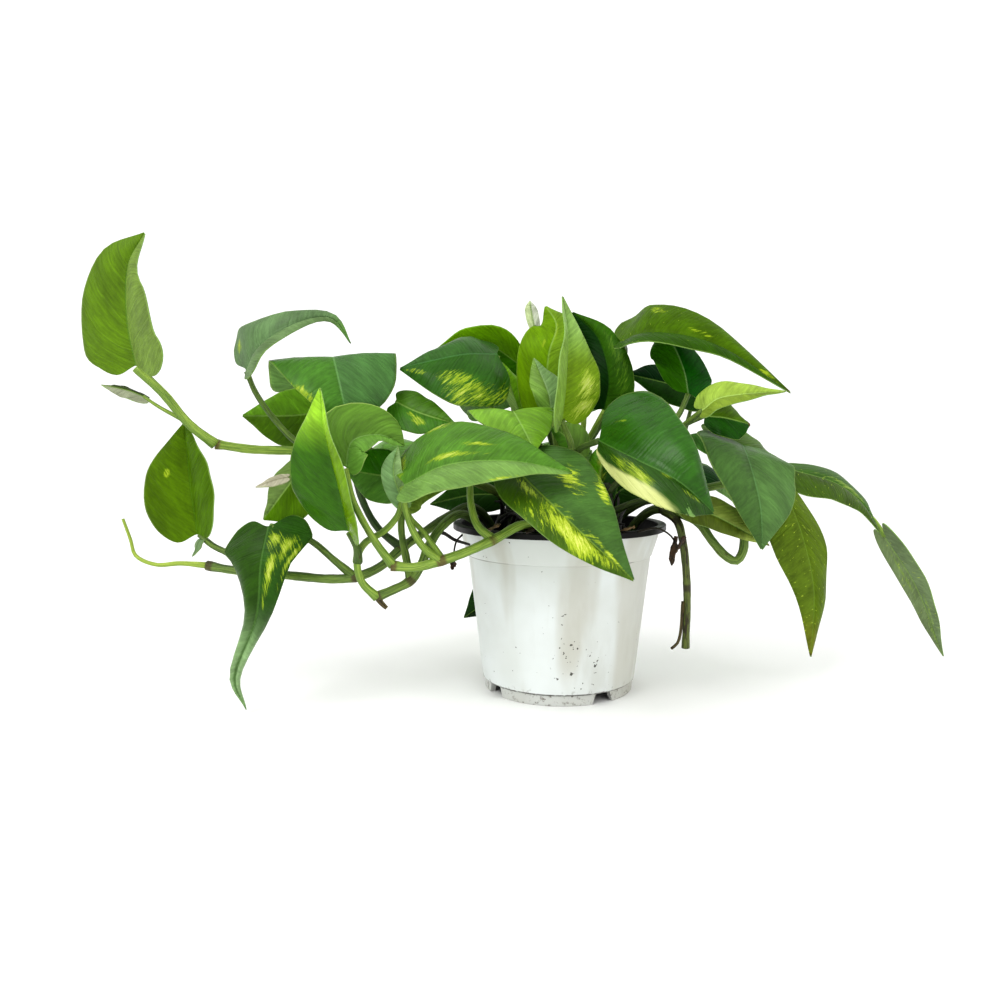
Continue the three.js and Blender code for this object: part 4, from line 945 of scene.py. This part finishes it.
def dirt_and_shade_lines(t, place, z, colour):
    """Dirt on the foot, and painted shade in the step under the wall and in the line under the band."""
    low = t.noise(place, 330, 5, 0.7)
    grime = t.times(t.ramp(low, 0.54, 0.66, 0, 0.8), t.ramp(z, 0.011, 0.005))
    colour = t.mix(t.ramp(z, 0.0075, 0.0055, 0, 0.5), colour, "a5a39a")
    colour = t.mix(grime, colour, "5d554a")
    # painted shade: a dark line in the step under the wall
    line = t.times(t.ramp(t.apart(z, FOOT_LINE), 0.0009, 0.0), t.ramp(low, 0.35, 0.5))
    colour = t.mix(line, colour, "3a352f")
    broken = t.ramp(t.noise(place, 30, 2), 0.42, 0.55, 0.15, 0.8)
    # painted shade: a fine grey line under the band
    line = t.times(t.ramp(t.apart(z, BAND_LINE), 0.0005, 0.0001), broken)
    return t.mix(line, colour, "77736b")


def plastic_outside(name):
    """White nursery plastic, with soft grey bands of painted shade and reflection running up it, and soil on
    it.
    """
    t = Tree(name)
    place = t.place()
    colour = t.mix(t.ramp(t.noise(place, 22, 3), 0.3, 0.7), "dde2e1", "d0d4d0")
    # painted shade and reflection: soft grey bands stretched up the wall
    shade_band_noise = t.noise(t.vector("MULTIPLY", place, (1, 1, 0.25)), 60, 4, 0.6)
    colour = t.mix(t.ramp(shade_band_noise, 0.5, 0.72, 0, 0.35), colour, "b9bab2")
    wide_shade_band_noise = t.noise(t.vector("MULTIPLY", place, (1, 1, 0.16)), 34, 3, 0.5)
    colour = t.mix(t.ramp(wide_shade_band_noise, 0.46, 0.62, 0, 0.55), colour, "b5b2a4")
    specks = t.noise(place, 430, 2, 0.4)
    colour = speckled(t, place, specks, colour)
    colour = dirt_and_shade_lines(t, place, t.split(place)[2], colour)
    height = t.plus(t.times(specks, 0.2), t.times(shade_band_noise, 0.5))
    return t.finish(colour, t.ramp(shade_band_noise, 0.3, 0.7, 0.36, 0.5), height, 0.15, Specular_IOR_Level=0.45)


def plastic_inside(name):
    """Black plastic with dust on it."""
    t = Tree(name)
    place = t.place()
    cloud = t.noise(place, 90, 4, 0.6)
    dust = t.noise(place, 420, 3)
    colour = t.mix(t.ramp(cloud, 0.35, 0.7), "040404", "0c0b0a")
    colour = t.mix(t.ramp(dust, 0.68, 0.76, 0, 0.5), colour, "57534b")
    return t.finish(colour, t.ramp(cloud, 0.3, 0.7, 0.32, 0.5), cloud, 0.2, Specular_IOR_Level=0.22)


def soil_material(name):
    """Dark crumbly soil with lighter bits."""
    t = Tree(name)
    place = t.place()
    grain = t.noise(place, 400, 5, 0.7)
    colour = t.mix(t.ramp(grain, 0.3, 0.7), "0b0806", "2a2019")
    colour = t.mix(t.ramp(t.noise(place, 180, 2), 0.68, 0.74), colour, "5a4a36")
    height = t.plus(grain, t.times(t.cells(place, 260), -2.0))
    return t.finish(colour, t.ramp(grain, 0.3, 0.7, 0.75, 0.95), height, 1.2, Specular_IOR_Level=0.25)


def dry_material(name, one, other):
    """Dead leaf."""
    t = Tree(name)
    cloud = t.noise(t.place(), 300, 4, 0.65)
    colour = t.mix(t.ramp(cloud, 0.35, 0.65), one, other)
    return t.finish(colour, t.ramp(cloud, 0.3, 0.7, 0.6, 0.85), cloud, 0.5)


def floor_material(name):
    """White paper."""
    t = Tree(name)
    cloud = t.noise(t.place(), 3.0, 3)
    colour = t.mix(t.ramp(cloud, 0.3, 0.7), "f7f7f6", "f3f3f2")
    return t.finish(colour, t.ramp(cloud, 0.3, 0.7, 0.75, 0.85), Specular_IOR_Level=0.2)


# ---- the plant ----

# Those blades are dark ones in the middle of the plant, painted in shade.
FIRST_SHADED = 51  # blades from this number on are in the shade
TUBE_SEEDS = 20  # seeds kept for each vine


def upper_side(number):
    """The material of a blade's upper face."""
    look = SHADED_LOOK if number >= FIRST_SHADED else PLAIN_LOOKS[number % len(PLAIN_LOOKS)]
    return leaf_material(f"leaf_{number:02}", LOOKS.get(number, look), number)


def add_leaves(under):
    for number, leaf in LEAVES.items():
        vertices, faces, uvs, tops = blade_mesh(leaf, number, **FORMS.get(number, {}))
        picks = [0] * tops + [1] * (len(faces) - tops)
        materials = [upper_side(number), under]
        blade = add_piece(f"blade_{number:02}", vertices, faces, uvs, materials, picks)
        dress(blade, f"leaf_{number:02}")


def add_vines(stems, under):
    kinds = list(stems)
    for number, (letter, tubes) in enumerate(VINES.items()):
        shape = Shape("stem", "spot", "blade", "vein")
        look = STEM_LOOKS.get(letter, DEFAULT_STEM)
        starts = [path[0] for _, path in tubes[1:]]
        for k, (radius, path) in enumerate(tubes):
            pick = kinds.index(look[min(k, len(look) - 1)])
            nodes = starts if k == 0 else path[1:-1] if (letter, k) in BARE_STEMS else ()
            add_tube(shape, path, radius, pick, nodes, k > 0, number * TUBE_SEEDS + k)
        materials = list(stems.values())
        for blade, leaf in SMALL_BLADES.get(letter, {}).items():
            vertices, faces, uvs, tops = blade_mesh(leaf, blade)
            top, below = len(materials), len(materials) + 1
            shape.add(vertices, faces, [top] * tops + [below] * (len(faces) - tops), **uvs)
            materials += [upper_side(blade), under]
        dress(shape.piece("stems_" + letter, materials), "vine_" + letter)


def add_sheaths():
    for name, (look, sheath) in SHEATHS.items():
        vertices, faces, uvs, _ = blade_mesh(sheath, SHEATH_SEED, **SHEATH_FORM)
        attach(add_piece(name, vertices, faces, uvs, [leaf_material(name, look)]), "root")


# ---- pot ----

LIP_RADIUS = 65.0
POT_HEIGHT = 101.6
WALL = 1.3
LIP_BASE = 98.0
RIM_RADIUS = 61.4
BAND_BASE = 82.4
BAND_RADIUS = 56.8
WALL_TOP_RADIUS = 55.9
WALL_FOOT_RADIUS = 46.7
FOOT_HEIGHT = 6.5
FOOT_RADIUS = 45.4
FOOT_WIDTH = 3.6
POT_FLOOR = 8.5
POT_SIDES = 144
SHARP = 32  # degrees between two faces from which their edge stays sharp
NOTCHES = 4
FIRST_NOTCH = -59
NOTCH_TOP, NOTCH_BASE = 10.0, 14.0
DRAIN_RADIUS, DRAIN_RING, DRAIN_SIDES = 3.5, 37.3, 24
# Radius and height, up the white outside and then down the black inside.
OUTSIDE = [
    (0, FOOT_HEIGHT),
    (FOOT_RADIUS - FOOT_WIDTH, FOOT_HEIGHT),
    (FOOT_RADIUS - FOOT_WIDTH, 0.3),
    (FOOT_RADIUS - FOOT_WIDTH + 0.3, 0),
    (FOOT_RADIUS - 0.4, 0),
    (FOOT_RADIUS, 0.4),
    (FOOT_RADIUS + 0.1, FOOT_HEIGHT - 0.3),
    (FOOT_RADIUS + 0.1, FOOT_HEIGHT),
    (WALL_FOOT_RADIUS - 0.5, FOOT_HEIGHT),
    (WALL_FOOT_RADIUS, FOOT_HEIGHT + 0.5),
    (WALL_TOP_RADIUS, BAND_BASE - 0.1),
    (WALL_TOP_RADIUS + 0.1, BAND_BASE),
    (BAND_RADIUS - 0.2, BAND_BASE + 0.5),
    (BAND_RADIUS, BAND_BASE + 0.9),
    (RIM_RADIUS, LIP_BASE),
]
INSIDE = [
    (LIP_RADIUS - 0.4, LIP_BASE),
    (LIP_RADIUS, LIP_BASE + 0.4),
    (LIP_RADIUS, POT_HEIGHT - 0.5),
    (LIP_RADIUS - 0.5, POT_HEIGHT),
    (RIM_RADIUS - WALL + 0.5, POT_HEIGHT),
    (RIM_RADIUS - WALL, POT_HEIGHT - 0.5),
    (RIM_RADIUS - WALL, LIP_BASE),
    (BAND_RADIUS - WALL, BAND_BASE + 0.9),
    (WALL_TOP_RADIUS - WALL, BAND_BASE),
    (WALL_FOOT_RADIUS - WALL, POT_FLOOR),
    (0, POT_FLOOR),
]


def circle(radius, sides):
    angles = np.linspace(0, FULL_TURN, sides, endpoint=False)
    return [(radius * math.cos(a), radius * math.sin(a)) for a in angles]


def lathe(profile, sides):
    """Vertices and faces of a turned solid whose profile starts and ends on the axis."""
    vertices = [(0.0, 0.0, profile[0][1])]
    for radius, height in profile[1:-1]:
        vertices += [(x, y, height) for x, y in circle(radius, sides)]
    vertices.append((0.0, 0.0, profile[-1][1]))
    faces, rows = [], len(profile) - 2
    for j in range(sides):
        k = (j + 1) % sides
        faces.append((0, 1 + k, 1 + j))
        for i in range(rows - 1):
            a, b = 1 + i * sides, 1 + (i + 1) * sides
            faces.append((a + j, a + k, b + k, b + j))
        top = 1 + (rows - 1) * sides
        faces.append((top + j, top + k, len(vertices) - 1))
    return vertices, faces


def prism(outline, low, high):
    """An upright prism."""
    vertices = [(x, y, z) for z in (low, high) for x, y in outline]
    return np.array(vertices, float), ring_faces(2, len(outline))


def spun(points, degrees):
    """Points turned about the pot's axis."""
    a = math.radians(degrees)
    turn = np.array([[math.cos(a), math.sin(a), 0], [-math.sin(a), math.cos(a), 0], [0, 0, 1]])
    return points @ turn


def cut_tools():
    """The wedges that open the foot ring and the drain holes between them, as one mesh."""
    tools = Shape()
    base, top = NOTCH_BASE / 2 + 0.8, NOTCH_TOP / 2
    wedge = [(-base, -1), (base, -1), (top, FOOT_HEIGHT - 0.4), (-top, FOOT_HEIGHT - 0.4)]
    notch, notch_faces = prism(wedge, FOOT_RADIUS - 2 * FOOT_WIDTH, FOOT_RADIUS + 2 * FOOT_WIDTH)
    notch = notch[:, [2, 0, 1]]  # laid down, pointing away from the pot's axis
    drain, drain_faces = prism(circle(DRAIN_RADIUS, DRAIN_SIDES), FOOT_HEIGHT - 3, POT_FLOOR + 3)
    for i in range(NOTCHES):
        angle = FIRST_NOTCH + 360 * i / NOTCHES
        tools.add(spun(notch, angle), notch_faces)
        tools.add(spun(drain + (DRAIN_RING, 0, 0), angle + 180 / NOTCHES), drain_faces)
    return tools


def add_pot(white, black):
    vertices, faces = lathe(OUTSIDE + INSIDE, POT_SIDES)
    picks = ([0] * (len(OUTSIDE) - 1) + [1] * len(INSIDE)) * POT_SIDES
    pot = add_piece("pot_shell", vertices, faces, {}, [white, black], picks)
    tool = cut_tools().piece("cutter", [white], smooth=False)
    cut = pot.modifiers.new("cut", "BOOLEAN")
    cut.object = tool
    cut.operation = "DIFFERENCE"
    cut.solver = "EXACT"
    bpy.context.view_layer.objects.active = pot
    pot.select_set(True)
    bpy.ops.object.modifier_apply(modifier="cut")
    bpy.data.objects.remove(tool)
    bpy.ops.object.shade_smooth_by_angle(angle=math.radians(SHARP))
    pot.select_set(False)
    dress(pot, "pot")


# ---- soil, roots and scraps ----

SOIL_TOP = 92.5
SOIL_RADIUS = 58.2
SOIL_FLOOR = 8.8
SOIL_GAP = 0.3  # between the soil and the wall
SOIL_SIDES, SOIL_RINGS = 96, 30
CRUMBS = 260
# Thin dry roots and threads that show from the front; radii, then the path.
ROOTS = [
    ((1.3, 0.8), [(-77, -58, 92), (-70, -52, 101), (-62, -44, 96), (-54, -34, 92)]),
    ((0.6, 0.4), [(-58, -38, 98), (-61, -47, 95), (-62, -52, 88), (-61, -53, 82)]),
    ((0.7, 0.4), [(40, -50, 101), (50, -58, 104), (58, -60, 99), (60, -61, 91)]),
]
# Old roots are drawn at random over the soil: their count, where they start, where they have to end.
OLD_ROOTS, ROOT_START, ROOT_BASE, ROOT_END = 70, 48, 91, 54
# Dried scraps caught on the stems and the lip: middle, half length, half width, tilt and turn in degrees,
# and which of the two dry materials.
SCRAPS = [
    ((59, -61.5, 92), 8, 3.2, 80, 20, 0),
    ((63, -60, 96), 4.5, 2.2, 60, -35, 0),
    ((-62, -53, 84), 3.6, 2.0, 80, 50, 0),
    ((-40, -57, 104), 4.5, 2.2, 25, 10, 1),
    ((-20, -62, 103), 4.0, 1.6, 15, 60, 0),
    ((34, -55, 103), 4.5, 2.0, 20, -30, 1),
]
SCRAP_COLOURS = {"scrap_dark": ("1c130c", "4a3420"), "scrap_brown": ("4d3a22", "806a44")}
SCRAP_GRID = np.meshgrid(np.linspace(-1, 1, 11), np.linspace(-1, 1, 7), indexing="ij")
HALF_SCRAP = 0.25  # half the thickness
# Seeds of the random draws.
CRUMB_SEED, LITTER_SEED, SHEATH_SEED, ROOT_SEEDS, OLD_ROOT_SEEDS, SCRAP_SEEDS = 5, 11, 61, 300, 400, 500


def soil_height(x, y):
    """Low lumps and finer ones on the soil's top."""
    low = 1.4 * (np.sin(0.31 * x + 0.12 * y) + 0.8 * np.sin(0.27 * y - 0.16 * x))
    fine = 0.5 * np.sin(1.1 * x + 2.0 * np.sin(0.7 * y)) * np.sin(1.3 * y + 1.5 * np.sin(0.9 * x))
    return low + fine


def crumb(draw, size):
    """A rough lump with six corners."""
    corners = np.vstack([np.eye(3), -np.eye(3)]) * size * draw.uniform(0.6, 1.2, (6, 1))
    corners = corners @ np.linalg.qr(draw.normal(size=(3, 3)))[0]
    faces = [(0, 1, 2), (1, 3, 2), (3, 4, 2), (4, 0, 2), (1, 0, 5), (3, 1, 5), (4, 3, 5), (0, 4, 5)]
    return corners, faces


def polar(out, turn):
    return out * math.cos(turn), out * math.sin(turn)


def add_soil(material):
    """Soil that fills the pot, with loose crumbs on top."""
    shape = Shape()
    low, high = (radius - WALL - SOIL_GAP for radius in (WALL_FOOT_RADIUS, WALL_TOP_RADIUS))
    profile = [(0, SOIL_FLOOR), (low, SOIL_FLOOR), (high, BAND_BASE)]
    profile += [(SOIL_RADIUS * (1 - i / SOIL_RINGS), SOIL_TOP) for i in range(SOIL_RINGS + 1)]
    vertices, faces = lathe(profile, SOIL_SIDES)
    vertices = np.array(vertices)
    out = np.hypot(vertices[:, 0], vertices[:, 1])
    top = (vertices[:, 2] > SOIL_TOP - 0.1) & (out < SOIL_RADIUS - 0.5)
    vertices[top, 2] += soil_height(vertices[top, 0], vertices[top, 1])
    shape.add(vertices, faces)
    draw = np.random.default_rng(CRUMB_SEED)
    for _ in range(CRUMBS):
        x, y = polar((SOIL_RADIUS - 3) * math.sqrt(draw.uniform()), draw.uniform(0, FULL_TURN))
        points, crumb_faces = crumb(draw, draw.uniform(0.7, 2.0))
        shape.add(points + (x, y, SOIL_TOP + soil_height(x, y) + 0.3), crumb_faces)
    dress(shape.piece("soil_mix", [material], smooth=False), "soil")


def add_roots(material):
    """Old roots and leaf bases lying over the soil, and a few that reach over the lip."""
    shape = Shape("stem", "spot")
    for number, (radius, path) in enumerate(ROOTS):
        add_tube(shape, path, radius, seed=ROOT_SEEDS + number)
    draw = np.random.default_rng(LITTER_SEED)
    for number in range(OLD_ROOTS):
        turn, out = draw.uniform(0, FULL_TURN), ROOT_START * math.sqrt(draw.uniform(0.1, 1))
        start = np.array([*polar(out, turn), ROOT_BASE])
        heading = turn + draw.uniform(1.6, 4.6)
        end = start + (*polar(draw.uniform(20, 44), heading), draw.uniform(4, 30))
        end[:2] *= min(1, ROOT_END / np.hypot(end[0], end[1]))
        middle = (start + end) / 2 + draw.uniform((-5, -5, 3), (5, 5, 14))
        radius = draw.uniform(0.8, 2.0), 0.5
        add_tube(shape, [start, middle, end], radius, seed=OLD_ROOT_SEEDS + number)
    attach(shape.piece("old_roots", [material]), "root")


def add_scraps(materials):
    """Small crumpled pieces of dead leaf."""
    u, v = SCRAP_GRID
    for number, (middle, long, wide, tilt, turn, pick) in enumerate(SCRAPS):
        draw = np.random.default_rng(SCRAP_SEEDS + number)
        narrow = np.sqrt(np.clip(1 - u**2, 0, 1)) * (0.9 + 0.3 * np.sin(u * 7 + number)) + 0.05
        curl = 0.35 * wide * (v**2 + 0.5 * np.sin(u * 5 + v * 3 + number)) + draw.uniform(-0.3, 0.3, u.shape)
        flat = np.stack([u * long, v * wide * narrow, curl], axis=-1)
        a = math.radians(tilt)
        tip = np.array([[math.cos(a), 0, math.sin(a)], [0, 1, 0], [-math.sin(a), 0, math.cos(a)]])
        vertices, faces = closed_sheet(spun(flat @ tip, turn) + middle, HALF_SCRAP)
        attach(add_piece(f"scrap_{number}", vertices, faces, {}, [materials[pick]]), "root")


# ---- the scene ----

FLOOR_HALF = 6000


def add_floor():
    corners = [(x, y, 0) for x, y in ((-1, -1), (1, -1), (1, 1), (-1, 1))]
    material = floor_material("floor")
    add_piece("floor", np.array(corners) * FLOOR_HALF, [(0, 1, 2, 3)], {}, [material], smooth=False)


add_camera()
add_world()
for light, settings in LIGHTS.items():
    add_light(light, *settings)
add_floor()
stems = {kind: stem_material("stem_" + kind, *colours) for kind, colours in STEM_COLOURS.items()}
under = leaf_material("underside", UNDERSIDE)
add_pot(plastic_outside("pot_white"), plastic_inside("pot_black"))
add_soil(soil_material("potting_soil"))
add_roots(stem_material("root", *ROOT_AND_SHADE_COLOURS))
add_scraps([dry_material(name, *colours) for name, colours in SCRAP_COLOURS.items()])
add_vines(stems, under)
add_leaves(under)
add_sheaths()
